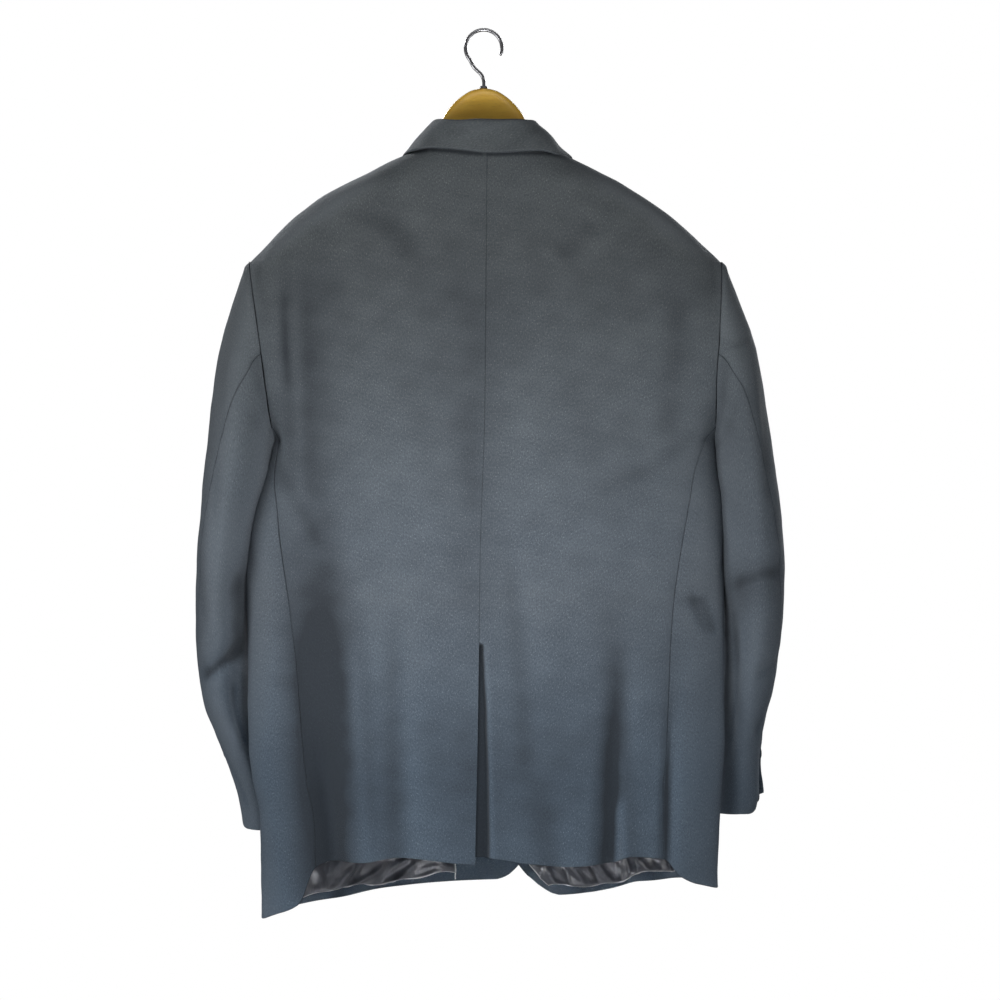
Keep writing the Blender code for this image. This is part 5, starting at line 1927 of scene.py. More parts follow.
COLLAR_PLACES = (
    CollarPlace((0.0, 0.049, -0.129), (0.0, 0.047, -0.107), (0.0, 0.0562, -0.14)),
    CollarPlace((0.026, 0.0475, -0.129), (0.024, 0.045, -0.1066), (0.0335, 0.055, -0.14)),
    CollarPlace((0.047, 0.04, -0.129), (0.043, 0.0375, -0.105), (0.06, 0.049, -0.1395)),
    CollarPlace((0.061, 0.024, -0.129), (0.0555, 0.0215, -0.1035), (0.0815, 0.0345, -0.1368)),
    CollarPlace((0.0665, 0.004, -0.1288), (0.06, 0.001, -0.1065), (0.0915, 0.004, -0.1355)),
    CollarPlace((0.062, -0.018, -0.1283), (0.06, -0.02, -0.116), (0.096, -0.027, -0.14)),
    CollarPlace((0.0575, -0.034, -0.137), (0.057, -0.038, -0.131), (0.098, -0.048, -0.157)),
    CollarPlace((0.053, -0.045, -0.15), (0.0535, -0.05, -0.149), (0.099, -0.058, -0.173)),
)


def resampled(points: Array, shares: Array) -> Array:
    """Each row of a grid, with places at given shares of its length.

    Args:
        points: The grid.
        shares: The shares.

    Returns:
        The new grid.
    """
    run = running_length(points, 1)
    rows = [[np.interp(shares * run[i, -1], run[i], points[i, :, axis]) for axis in range(3)]
            for i in range(len(points))]
    return np.array(rows).transpose(0, 2, 1)


@dataclass(frozen=True)
class Collar(ClothPiece):
    """The folded collar, from its left end round the neck to its right end."""

    part = "collar"
    carried_by = ("back_cloth_left", "back_cloth_right")
    finish = ("wool",)
    fold_radius: float = 0.003
    bulge: float = 0.002
    right_fold_share: float = 0.945
    depth: float = 0.06
    length: float = 0.34
    thickness: float = CLOTH * 1.15
    rippled: float = 1.5
    wave: float = 0.0007
    wave_length: float = 0.013
    left_lift: Curve = Curve((0.0, 0.0), (0.0335, 0.0036), (0.06, 0.006), (0.0815, 0.0022),
                             (0.0915, -0.0034), (0.099, -0.002))
    right_lift: Curve = Curve((0.0, 0.0), (0.0335, 0.0014), (0.06, 0.0024), (0.0815, -0.0026),
                              (0.0915, -0.002), (0.099, 0.0))

    def section(self, place: CollarPlace, sign: int) -> Array:
        """Points up the stand, over the fold and down the fall.

        Args:
            place: The section, on the left side.
            sign: 1 for the left side and -1 for the right one.

        Returns:
            The points, as rows.
        """
        base, fold, edge = (np.array(point) for point in astuple(place))
        if sign < 0:
            fold = fold * np.array([self.right_fold_share, 1.0, 1.0])
        edge[2] += float((self.left_lift if sign > 0 else self.right_lift)(edge[0]))
        across, up = unit(from_axis(edge - base)), np.array([0.0, 0.0, 1.0])
        swell = unit(np.cross(edge - fold, np.cross(across, up))) * self.bulge
        swell = swell if swell[2] > 0 else -swell
        line = np.array([base, base + (fold - base) * 0.6, fold - across * self.fold_radius,
                         fold + up * self.fold_radius, fold + across * self.fold_radius,
                         (fold + edge) / 2 + swell, edge])
        return line * np.array([sign, 1.0, 1.0])

    def shell(self) -> Shell:
        """The collar's form.

        Returns:
            The shell.
        """
        sections = [self.section(place, 1) for place in COLLAR_PLACES[::-1]]
        sections += [self.section(place, -1) for place in COLLAR_PLACES[1:]]
        swept = rounded_spline([section.ravel() for section in sections], 9)
        grid = np.array([rounded_spline(row.reshape(-1, 3), 6) for row in swept])
        grid = resampled(grid, edge_refined(self.depth, 0.002, False)).transpose(1, 0, 2)
        grid = resampled(grid, edge_refined(self.length, 0.0026)).transpose(1, 0, 2)
        outward = from_axis(grid)
        outward[:, :grid.shape[1] // 2] = 0
        normals = facing(grid, outward)
        across, along = laid_flat(grid)
        heights = ripple(along, across * self.rippled, 1.9) * self.rippled
        waves = self.wave * np.sin(along / self.wave_length + 1.0)
        heights = heights + waves * (across / across[:, -1:]) ** 2
        laid = grid + normals * (heights + CLOTH / 2)[..., None]
        return Shell("collar_cloth", laid, facing(laid, normals), thickness=self.thickness,
                     roll=0.0015, soft_edges=(True, True, False, True))


@dataclass(frozen=True)
class LapelRow:
    """A line across the lapel, from the roll to its free edge."""

    roll_x: float
    roll_z: float
    edge_x: float
    edge_z: float


LAPEL_ROWS = (
    LapelRow(0.0596, -0.18, 0.13, -0.2),
    LapelRow(0.0558, -0.198, 0.129, -0.213),
    LapelRow(0.047, -0.24, 0.118, -0.258),
    LapelRow(0.037, -0.288, 0.102, -0.305),
    LapelRow(0.027, -0.336, 0.083, -0.35),
    LapelRow(0.0171, -0.383, 0.063, -0.395),
    LapelRow(0.0078, -0.429, 0.042, -0.438),
)
LAPEL_ENDS = {
    "left": (LapelRow(-0.0015, -0.474, 0.022, -0.48), LapelRow(-0.0105, -0.517, 0.003, -0.52),
             LapelRow(-0.0165, -0.545, -0.012, -0.546)),
    "right": (LapelRow(0.007, -0.472, 0.02, -0.477), LapelRow(0.0105, -0.49, 0.014, -0.492)),
}


@dataclass(frozen=True)
class Lapel(HalfPiece):
    """The front's cloth turned back at the chest, with a soft roll round the front's edge."""

    part = "lapel"
    carried_by = ("front_cloth",)
    held = Held.FOLDED
    finish = ("wool",)
    seat: float = 0.0009
    width: float = 0.06
    lift: float = 0.0028
    lift_run: float = 0.06
    least: float = 0.15
    wrap_gap: float = 0.0004
    wrap_degrees: float = 150.0
    wrap_parts: int = 9

    def shell(self) -> Shell:
        """The lapel's form.

        Returns:
            The shell.
        """
        ends = [astuple(row) for row in LAPEL_ROWS + LAPEL_ENDS[self.side.name]]
        roll_x, roll_z, edge_x, edge_z = rounded_spline(ends, 14).T[..., None]
        shares = edge_refined(self.width, 0.0028, False)
        x = roll_x + (edge_x - roll_x) * shares
        z = roll_z + (edge_z - roll_z) * shares
        points, normals = Front(self.side).places(x, z)
        fade = smoothstep((z[:, :1] - z[-1, 0]) / self.lift_run)
        lifts = self.least + (1 - self.least) * fade
        lifts = self.lift * lifts * (1 - shares) ** 2
        laid = points + normals * (CLOTH + self.seat + lifts)[..., None]
        top = CLOTH + self.seat + lifts[:, :1]
        low = -CLOTH - self.wrap_gap
        tangent = unit(points[:, 1] - points[:, 0])
        turns = np.radians(np.linspace(self.wrap_degrees, 0, self.wrap_parts, endpoint=False))
        centre, radius = (top + low) / 2, (top - low) / 2
        height = centre + radius * np.cos(turns)
        wrapped = (points[:, :1] + normals[:, :1] * height[..., None]
                   - tangent[:, None] * (radius * np.sin(turns))[..., None])
        grid = np.concatenate([wrapped, laid], axis=1)
        outward = np.zeros_like(grid)
        outward[:, self.wrap_parts + 1:] = (0.0, -1.0, 0.0)
        # open_edges: less painted shade along its edges
        return Shell(self.sided("lapel_cloth"), grid, facing(grid, outward), roll=0.0013,
                     soft_edges=(True, True, False, True), open_edges=0.0006)


# ---- pockets
@dataclass(frozen=True)
class Patch(HalfPiece):
    """A flap or welt on a front: its upper corners, how far it hangs and how it leans."""

    carried_by = ("front_cloth",)
    finish = ("wool",)
    name: str
    inner: tuple[float, float]
    outer: tuple[float, float]
    drop: float
    lean: float
    jet: float = 0.0
    corner: float = 0.01
    seat: float = 0.0006
    width: float = 0.134
    swell: float = 0.0006
    jet_rows: tuple[float, ...] = (-0.0012, -0.0007, -0.0003, 0.0, 0.0004, 0.0009)
    groove: float = 0.0011
    groove_above: float = 0.0002
    groove_width: float = 0.0007
    flap_below: float = 0.0012

    def node(self) -> str:
        """The name of the solid."""
        return self.name

    def shell(self) -> Shell:
        """The patch's form, with its jet above it.

        Returns:
            The shell.
        """
        down = -self.jet + (self.drop + self.jet) * edge_refined(self.drop + self.jet, 0.0022)
        down = np.unique(np.concatenate([down, self.jet_rows if self.jet else ()]))
        shares = edge_refined(self.width, 0.003)
        past = np.clip((down - (self.drop - self.corner)) / self.corner, 0, 1)
        inset = corner_inset(self.corner, past, 0.96) if self.jet else 0 * past
        hang = np.clip(down, 0, None) / self.drop
        slip = self.lean * hang
        inner_x = self.inner[0] - slip + inset
        outer_x = self.outer[0] - slip - inset
        x = inner_x[:, None] + (outer_x - inner_x)[:, None] * shares
        z = (self.inner[1] + (self.outer[1] - self.inner[1]) * shares)[None] - down[:, None]
        points, normals = Front(self.side).places(x, z)
        swell = self.swell * hang ** 2
        if self.jet:
            swell = swell - self.groove * hump(down + self.groove_above, self.groove_width)
            swell = swell + self.swell * (down > self.flap_below)
        height = CLOTH + self.seat + swell[:, None] + ripple(x * 1.7, z * 1.7, 3.3)
        laid = points + normals * height[..., None]
        # open_edges: less painted shade along its edges
        return Shell(self.name + "_cloth", laid, facing(laid, normals), roll=0.0011,
                     open_edges=0.0006)


PATCHES = (
    Patch(LEFT, "pocket_flap_left", (0.082, -0.694), (0.216, -0.688), 0.055, 0.004, jet=0.006),
    Patch(RIGHT, "pocket_flap_right", (0.098, -0.694), (0.216, -0.688), 0.055, 0.004, jet=0.006),
    Patch(LEFT, "breast_welt", (0.122, -0.338), (0.212, -0.326), 0.024, 0.0),
)


# ---- sleeves
@dataclass(frozen=True)
class SleeveRing:
    """A ring through the sleeve: its outer and inner limit, and its depth."""

    outer_x: float
    outer_z: float
    inner_x: float
    inner_z: float
    middle_y: float
    back: float
    front: float


LEFT_RINGS = (
    SleeveRing(0.2684, -0.2688, 0.2334, -0.4522, -0.001, 0.057, 0.064),
    SleeveRing(0.2805, -0.3062, 0.2348, -0.4545, -0.003, 0.066, 0.071),
    SleeveRing(0.2915, -0.3458, 0.2368, -0.459, -0.005, 0.073, 0.076),
    SleeveRing(0.301, -0.4008, 0.24, -0.469, -0.006, 0.08, 0.079),
    SleeveRing(0.306, -0.4448, 0.244, -0.488, -0.008, 0.084, 0.082),
    SleeveRing(0.313, -0.5108, 0.2545, -0.522, -0.01, 0.084, 0.083),
    SleeveRing(0.3185, -0.575, 0.2645, -0.578, -0.016, 0.082, 0.081),
    SleeveRing(0.321, -0.63, 0.2665, -0.63, -0.026, 0.079, 0.079),
    SleeveRing(0.321, -0.685, 0.266, -0.685, -0.04, 0.075, 0.075),
    SleeveRing(0.3165, -0.738, 0.264, -0.738, -0.056, 0.07, 0.07),
    SleeveRing(0.3045, -0.777, 0.254, -0.777, -0.071, 0.066, 0.066),
    SleeveRing(0.2895, -0.8188, 0.24, -0.8188, -0.087, 0.062, 0.062),
    SleeveRing(0.28, -0.855, 0.23, -0.855, -0.099, 0.06, 0.06),
    SleeveRing(0.2765, -0.885, 0.2265, -0.885, -0.106, 0.059, 0.059),
)
RIGHT_RINGS = (
    SleeveRing(0.2673, -0.2688, 0.2522, -0.4522, -0.001, 0.057, 0.064),
    SleeveRing(0.2825, -0.3062, 0.2534, -0.4545, -0.003, 0.066, 0.071),
    SleeveRing(0.2965, -0.3458, 0.255, -0.459, -0.005, 0.073, 0.076),
    SleeveRing(0.3055, -0.4008, 0.2565, -0.469, -0.006, 0.08, 0.079),
    SleeveRing(0.3125, -0.4448, 0.258, -0.488, -0.008, 0.084, 0.082),
    SleeveRing(0.323, -0.5108, 0.2614, -0.522, -0.01, 0.084, 0.083),
    SleeveRing(0.3285, -0.575, 0.2634, -0.578, -0.016, 0.082, 0.081),
    SleeveRing(0.329, -0.63, 0.2636, -0.63, -0.026, 0.079, 0.079),
    SleeveRing(0.3258, -0.685, 0.264, -0.685, -0.038, 0.075, 0.075),
    SleeveRing(0.317, -0.738, 0.262, -0.738, -0.052, 0.07, 0.07),
    SleeveRing(0.309, -0.777, 0.259, -0.777, -0.064, 0.066, 0.066),
    SleeveRing(0.308, -0.8188, 0.258, -0.8188, -0.077, 0.062, 0.062),
    SleeveRing(0.3085, -0.85, 0.2585, -0.85, -0.085, 0.06, 0.06),
    SleeveRing(0.306, -0.8685, 0.257, -0.8685, -0.09, 0.059, 0.059),
)
BACK_SLEEVE_SEAM = Curve((-0.87, 97), (-0.79, 86), (-0.7, 62), (-0.5, 30), (-0.427, 13),
                         (-0.363, -2), (-0.26, -8))
FRONT_SLEEVE_SEAM = 202.0


@dataclass(frozen=True)
class SleeveForm:
    """A whole sleeve's form. A turn is 0 at its back, 90 at its outer edge, 180 at its front."""

    side: Side
    armhole_gap: float = 0.0002

    def rings(self) -> tuple[SleeveRing, ...]:
        """The rings below the armhole."""
        return LEFT_RINGS if self.side is LEFT else RIGHT_RINGS

    def ring_place(self, ring: Array, turn: Array) -> Array:
        """Places on whole-numbered rings, of which 0 is the armhole's seam.

        Args:
            ring: Each place's ring.
            turn: Its turn round the sleeve, in degrees.

        Returns:
            The places.
        """
        ring, turn = np.broadcast_arrays(ring, turn)
        out, ahead = np.sin(np.radians(turn)), np.cos(np.radians(turn))
        sizes = np.array([astuple(size) for size in self.rings()])
        own = sizes[np.clip(ring - 1, 0, len(sizes) - 1)]
        outer_x, outer_z, inner_x, inner_z, middle_y, back, front = np.moveaxis(own, -1, 0)
        x = (outer_x + inner_x) / 2 + (outer_x - inner_x) / 2 * out
        z = (outer_z + inner_z) / 2 + (outer_z - inner_z) / 2 * out
        y = middle_y + np.where(ahead > 0, back, front) * ahead
        middle = (SHOULDER_Z + ARMPIT_Z) / 2
        seam_z = middle + (SHOULDER_Z - middle) * out
        depth = np.where(ahead > 0, BACK_DEPTH(seam_z), FRONT_DEPTH(seam_z))
        seam_x = self.side.armhole(seam_z) + self.armhole_gap * (1 + np.maximum(0, out))
        at_seam = ring <= 0
        return np.stack([self.side.sign * np.where(at_seam, seam_x, x),
                         np.where(at_seam, depth * ARMHOLE_DEPTH_SHARE * ahead, y),
                         np.where(at_seam, seam_z, z)], axis=-1)

    def place(self, ring: Array, turn: Array) -> Array:
        """Places at any ring number, on smooth lines through the rings.

        Args:
            ring: Each place's ring number, which may lie between two.
            turn: Its turn round the sleeve, in degrees.

        Returns:
            The places.
        """
        last = len(self.rings())
        first = np.clip(np.floor(ring).astype(int), 0, last - 1)
        around = [self.ring_place(np.clip(first + i, 0, last), turn) for i in (-1, 0, 1, 2)]
        before = np.where((first == 0)[..., None], around[2] - around[1],
                          (around[2] - around[0]) / 2)
        after = np.where((first == last - 1)[..., None], around[2] - around[1],
                         (around[3] - around[1]) / 2)
        return hermite((ring - first)[..., None], around[1], around[2], before, after)

    def centre(self, ring: Array) -> Array:
        """The middle of each ring."""
        turns = np.array([0.0, 90.0, 180.0, 270.0])
        return self.place(np.broadcast_to(ring[:, None], (len(ring), 4)), turns).mean(axis=1)

    def even_rings(self) -> Array:
        """Ring numbers at even distances down the sleeve, closer at its two ends.

        Returns:
            The ring numbers.
        """
        samples = np.linspace(0, len(self.rings()), 400)
        run = running_length(self.centre(samples)[None], 1)[0]
        return np.interp(edge_refined(run[-1]) * run[-1], run, samples)


@dataclass(frozen=True)
class Sleeve(HalfPiece):
    """The top or the under half of a sleeve."""

    carried_by = ("back_cloth", "front_cloth")
    top: bool
    width: float = 0.19
    vent_top_z: float = -0.765
    vent_opens: float = 0.022
    vent_width: float = 0.042
    vent_fades: float = 0.012
    vent_lift: float = 0.0012
    lift_width: float = 0.01
    tuck_top_z: float = -0.795
    tuck_run: float = 0.045
    tuck_width: float = 0.014
    cuff_run: float = 0.03
    open_edge: float = 0.0007
    head_swell: float = 0.0019
    head_at: float = 0.0065
    head_width: float = 0.0055

    def half(self) -> str:
        """Its name but for the side."""
        return "top_sleeve" if self.top else "under_sleeve"

    def node(self) -> str:
        """The name of the solid."""
        return self.sided(self.half())

    def shell(self) -> Shell:
        """The half sleeve's form.

        Returns:
            The shell.
        """
        form = SleeveForm(self.side)
        rings = form.even_rings()
        seam_z = form.place(rings, np.zeros_like(rings))[:, 2]
        seam = BACK_SLEEVE_SEAM(seam_z)
        start = seam if self.top else np.full_like(seam, FRONT_SLEEVE_SEAM)
        end = np.full_like(seam, FRONT_SLEEVE_SEAM) if self.top else 360 + seam
        turns = start[:, None] + (end - start)[:, None] * edge_refined(self.width)
        points = form.place(np.broadcast_to(rings[:, None], turns.shape), turns)
        outward = points - form.centre(rings)[:, None]
        wrapped = np.where(turns > FRONT_SLEEVE_SEAM + 0.01, turns - 360, turns)
        round_it, height = wrapped * PER_DEGREE, points[..., 2]
        laid, normals = dressed(points, outward, SLEEVE_CREASES[self.side.name], round_it, height,
                                SURFACE_SHIFT[self.side.name])
        across, down = laid_flat(laid)
        out = np.clip(np.sin(np.radians(turns)) * 1.6 + 0.4, 0, 1)
        swell = self.head_swell * out * hump(down - self.head_at, self.head_width)
        from_vent = across if self.top else across[:, -1:] - across
        own_x = laid[..., 0] * self.side.sign
        from_outside = own_x.max(axis=1, keepdims=True) - own_x
        inside_corner = np.clip(1 - from_outside / self.side.cuff_corner, 0, 1)
        raised = corner_inset(self.side.cuff_corner, inside_corner, 0.97)
        raised = raised + self.side.cuff_raise * np.clip(np.cos(np.radians(turns)), 0, 1)
        laid[..., 2] += raised * smoothstep(1 - (down[-1:] - down) / self.cuff_run)
        if self.top:
            in_vent = smoothstep((self.vent_top_z - height) / self.vent_opens)
            in_vent = in_vent * smoothstep((self.vent_width - across) / self.vent_fades)
            swell = swell + self.vent_lift * in_vent
            swell = swell + self.side.cuff_lift(height) * hump(across, self.lift_width)
        else:
            tucked = smoothstep((self.tuck_top_z - height) / self.tuck_run)
            tucked = self.side.cuff_tuck * tucked
            swell = swell - tucked * hump(from_vent, self.tuck_width)
        # painted shade on the sleeve, and painted highlight where a stroke's depth is below 0
        shaded = -creased(SLEEVE_SHADES[self.side.name], round_it, height)
        # less painted seam shade along the vent's free edges
        open_edges = self.open_edge * (height < self.vent_top_z) * (from_vent < 0.02)
        return Shell(self.sided(self.half() + "_cloth"), laid, normals,
                     seam_pucker=0.00015, swell=swell, lined=facing_inside(0.035, 0.02, 0.02),
                     shaded=shaded, open_edges=open_edges, filled=self.top)


# ---- small parts
@dataclass
class Bundle:
    """Places and faces gathered into one mesh, with a finish for each face.

    Places are given from the bundle's centre, along its own axes.
    """

    centre: Sequence[float] = (0.0, 0.0, 0.0)
    axes: Array = field(default_factory=lambda: np.eye(3))
    places: list[Array] = field(default_factory=list)
    faces: list[list[int]] = field(default_factory=list)
    slots: list[int] = field(default_factory=list)

    def add(self, places: Array, faces: Faces, finish: int = 0) -> None:
        """Adds places and faces in one finish.

        Args:
            places: The places.
            faces: Each face's places, by number.
            finish: The number of their finish.
        """
        start = sum(len(group) for group in self.places)
        self.places.append(places @ self.axes + np.array(self.centre))
        self.faces += [[index + start for index in face] for face in faces]
        self.slots += [finish] * len(faces)

    def add_tube(self, path: Sequence[Sequence[float]], radius: Number, around: int,
                 finish: int = 0) -> None:
        """Adds a round tube along a path."""
        self.add(*tube(np.array(path, float), radius, around), finish)

    def made(self, name: str, finishes: Sequence[Material], slot: str,
             node: Optional[str] = None) -> None:
        """Makes the mesh, and hides the solid that it takes the place of.

        Args:
            name: The piece's name.
            finishes: Its finishes.
            slot: Not used.
            node: The solid's name, if there is one.
        """
        built = mesh_object(name, np.concatenate(self.places), self.faces, finishes, self.slots)
        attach(built, "root")
        if node is not None:
            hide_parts(node)
        LOG.info("%s: %d faces", name, len(built.data.polygons))


@dataclass(frozen=True)
class Button:
    """A turned horn button with four holes, sewn on with thread."""

    node: str
    centre: tuple[float, float, float]
    normal: tuple[float, float, float]
    across: float
    thick: float = 0.0034
    stand: float = 0.0006
    sides: int = 40
    profile: tuple[tuple[float, float], ...] = (
        (0.0, 0.02), (0.62, 0.0), (0.88, 0.1), (0.98, 0.32), (1.0, 0.52), (0.985, 0.74),
        (0.94, 0.93), (0.87, 1.0), (0.79, 0.97), (0.7, 0.82), (0.6, 0.72), (0.45, 0.68),
        (0.2, 0.67), (0.0, 0.67))

    hole_reach: float = 0.2
    hole_radius: float = 0.095
    stem_radius: float = 0.16
    thread: float = 0.00022

    def build(self, looks: Looks) -> None:
        """Makes the button.

        Args:
            looks: The finishes.
        """
        normal = unit(np.array(self.normal))
        side = unit(np.cross(normal, (0.0, 0.0, 1.0)))
        centre = np.array(self.centre) + normal * self.stand + np.array([HANGS_OFF_CENTRE, 0, 0])
        bundle = Bundle(centre, np.array([side, np.cross(side, normal), normal]))
        radius, turns = self.across / 2, ring_turns(self.sides)
        rings = [np.stack([np.cos(turns) * max(share, 0.01) * radius,
                           np.sin(turns) * max(share, 0.01) * radius,
                           np.full_like(turns, rise * self.thick)], 1)
                 for share, rise in self.profile]
        bundle.add(np.concatenate(rings), tube_faces(len(rings), self.sides))
        dish = self.profile[-1][1] * self.thick
        reach = radius * self.hole_reach
        for x, y in ((reach, reach), (-reach, reach), (-reach, -reach), (reach, -reach)):
            bundle.add_tube([[x, y, dish - 0.0006], [x, y, dish + 0.00006]],
                            radius * self.hole_radius, 14, 1)
        for x in (reach, -reach):
            for aside in (-self.thread, self.thread):
                line = [[x + aside, reach * math.cos(turn), dish + 0.0005 * math.sin(turn)]
                        for turn in np.linspace(0, math.pi, 12)]
                bundle.add_tube(line, self.thread, 8, 1)
        bundle.add_tube([[0, 0, -self.stand - 0.0012], [0, 0, 0.0004]],
                        radius * self.stem_radius, 12, 1)
        bundle.made(self.node + "_turned", [looks.horn, looks.thread], "horn", self.node)


@dataclass(frozen=True)
class Buttons:
    """Every button of the coat: two in front and four on each sleeve."""

    front: tuple[tuple[float, float], ...] = ((0.0, -0.575), (-0.002, -0.685))
    sleeve_z: tuple[float, ...] = (-0.802, -0.819, -0.836, -0.853)
    past_seam: float = 26.0
    front_across: float = 0.0205
    sleeve_across: float = 0.015

    def build(self, looks: Looks) -> None:
        """Makes the buttons.

        Args:
            looks: The finishes.
        """
        for i, (x, z) in enumerate(self.front, start=1):
            grid_x, grid_z = np.meshgrid([x - 0.004, x, x + 0.004], [z + 0.004, z, z - 0.004])
            points, normals = Front(LEFT).places(grid_x, grid_z)
            Button(f"front_button_{i}", tuple(points[1, 1]), tuple(normals[1, 1]),
                   self.front_across).build(looks)
        for side in (LEFT, RIGHT):
            form = SleeveForm(side)
            samples = np.linspace(8, len(form.rings()), 300)
            for i, z in enumerate(self.sleeve_z, start=1):
                turn = float(BACK_SLEEVE_SEAM(z)) + self.past_seam
                line = form.place(samples, np.full_like(samples, turn))
                ring = float(np.interp(-z, -line[:, 2], samples))
                near = np.array([[ring - 0.1, ring], [ring - 0.1, ring]])
                around = np.array([[turn, turn], [turn + 4.0, turn + 4.0]])
                patch = form.place(near, around)
                normal = np.cross(patch[1, 1] - patch[0, 1], patch[0, 1] - patch[0, 0]) * side.sign
                centre = patch[0, 1] + unit(normal) * Sleeve(side, True).vent_lift
                Button(f"sleeve_button_{side.name}_{i}", tuple(centre), tuple(normal),
                       self.sleeve_across).build(looks)


@dataclass(frozen=True)
class Stitching:
    """Buttonholes and the loose basting line, in thread on the cloth."""

    hole_length: float = 0.022
    hole_width: float = 0.0017
    thread: float = 0.00042
    basting: float = 0.00065
    under_cloth: float = 0.001

    def hole(self, bundle: Bundle, x: float, z: float, slope: float, height: float) -> None:
        """Adds a worked buttonhole on the left front.

        Args:
            bundle: What it is added to.
            x: Where it starts, from the centre.
            z: How high it starts.
            slope: How much it rises along its length.
            height: How far it lies off the front's form.
        """
        turns = np.linspace(0, 2 * math.pi, 49)
        along = (0.5 + 0.5 * np.cos(turns)) * self.hole_length
        aside = np.sin(turns) * self.hole_width / 2 * (1 + 0.5 * (np.cos(turns) < -0.8))
        z = z + slope * along + aside
        angles = BODY.angle_at(LEFT, x + along, z, front_layer(LEFT), True)
        places = BODY.point(LEFT, angles, z, front_layer(LEFT))
        heights = creased(FRONT_CREASES, places[:, 0] + HANGS_OFF_CENTRE, places[:, 2])
        places = places - np.array([0, 1.0, 0]) * (height + heights[:, None])
        places[:, 0] += HANGS_OFF_CENTRE
        bundle.add_tube(places, self.thread, 8)

    def build(self, looks: Looks) -> None:
        """Makes the stitching.

        Args:
            looks: The finishes.
        """
        holes = Bundle()
        for x, z in Buttons().front:
            self.hole(holes, x - 0.0175, z, 0.0, 0.0001)
        self.hole(holes, 0.098, -0.226, -0.24, CLOTH + self.under_cloth)
        holes.made("buttonhole_stitches", [looks.thread], "wool")
        grid_x, grid_z = np.meshgrid([0.0352, 0.0382], np.linspace(-0.88, -0.9185, 14))
        points, normals = Front(LEFT).places(grid_x, grid_z)
        line = points[:, 0] - normals[:, 0] * (CLOTH + self.under_cloth)
        line[:, 0] += HANGS_OFF_CENTRE + 0.0003 * np.sin(np.arange(len(line)) * 1.7)
        basting = Bundle()
        basting.add_tube(line, self.basting, 8)
        basting.made("basting_line", [looks.basting], "satin")


# ---- hanger and hook
DOME = Curve((0.0, -0.062), (0.012, -0.0643), (0.024, -0.071), (0.036, -0.082),
             (0.045, -0.095), (0.0495, -0.108), (0.052, -0.12), (0.0545, -0.13),
             (0.06, -0.14), (0.068, -0.1455), (0.08, -0.15), (0.098, -0.155))
WOOD_HEIGHT = Curve((0.0, 0.066), (0.03, 0.058), (0.048, 0.046), (0.068, 0.035),
                    (0.09, 0.033), (0.15, 0.032), (0.2, 0.03), (0.226, 0.024))
WOOD_HALF_DEPTH = Curve((0.0, 0.008), (0.05, 0.0095), (0.09, 0.012), (0.15, 0.018),
                        (0.2, 0.019), (0.226, 0.017))
ARM_FORWARD = Curve((0.0, 0.0), (0.08, 0.0), (0.226, 0.003))


@dataclass(frozen=True)
class Hanger:
    """A shaped wooden hanger, of which the middle shows above the collar."""

    arm_end: float = 0.226
    end_rounds: float = 0.006
    end_share: float = 0.62
    roundness: float = 0.8
    under_cloth: float = 0.005
    sides: int = 40
    stations: int = 90

    def ridge_z(self, x: Array) -> Array:
        """The height of the lower shoulder's ridge at distances from the centre.

        Args:
            x: The distances.

        Returns:
            The heights.
        """
        low, high = np.full_like(x, SHOULDER_Z), np.full_like(x, NECK_Z)
        for _ in range(HALVINGS):
            middle = (low + high) / 2
            below = RIGHT.shoulder(middle) - HANGS_OFF_CENTRE > x
            low, high = np.where(below, middle, low), np.where(below, high, middle)
        return (low + high) / 2

    def top(self, x: Array) -> Array:
        """The height of the wood's top."""
        under = np.minimum(DOME.value[-1], self.ridge_z(x) - self.under_cloth)
        return np.where(x < DOME.at[-1], DOME(x), under)

    def build(self, looks: Looks) -> None:
        """Makes the wood, its arms' ends rounded off.

        Args:
            looks: The finishes.
        """
        out = np.linspace(0, 1, self.stations) ** 0.9 * self.arm_end
        end = np.array([self.arm_end - 0.0008, self.arm_end])
        x = np.concatenate([out[:-1], end])
        shrink = np.concatenate([np.ones(len(out) - 1), [0.9, self.end_share]])
        rounded = np.sqrt(np.clip((self.arm_end - x) / self.end_rounds, 0, 1))
        shrink = np.minimum(shrink, rounded * (1 - self.end_share) + self.end_share)
        turns = ring_turns(self.sides)
        across = np.sign(np.cos(turns)) * np.abs(np.cos(turns)) ** self.roundness
        up = np.sign(np.sin(turns)) * np.abs(np.sin(turns)) ** self.roundness
        half = WOOD_HEIGHT(x) / 2
        y = (across * (WOOD_HALF_DEPTH(x) * shrink)[:, None]) - ARM_FORWARD(x)[:, None]
        z = (self.top(x) - half)[:, None] + up * (half * shrink)[:, None]
        right = np.stack([np.broadcast_to(-x[:, None], y.shape), y, z], 2)
        left = np.stack([np.broadcast_to(x[:, None], y.shape), y, z], 2)
        rings = np.concatenate([right[::-1], left[1:]])
        bundle = Bundle()
        bundle.add(rings.reshape(-1, 3), tube_faces(len(rings), self.sides))
        bundle.made("hanger_wood", [looks.wood], "varnished_wood", "hanger")


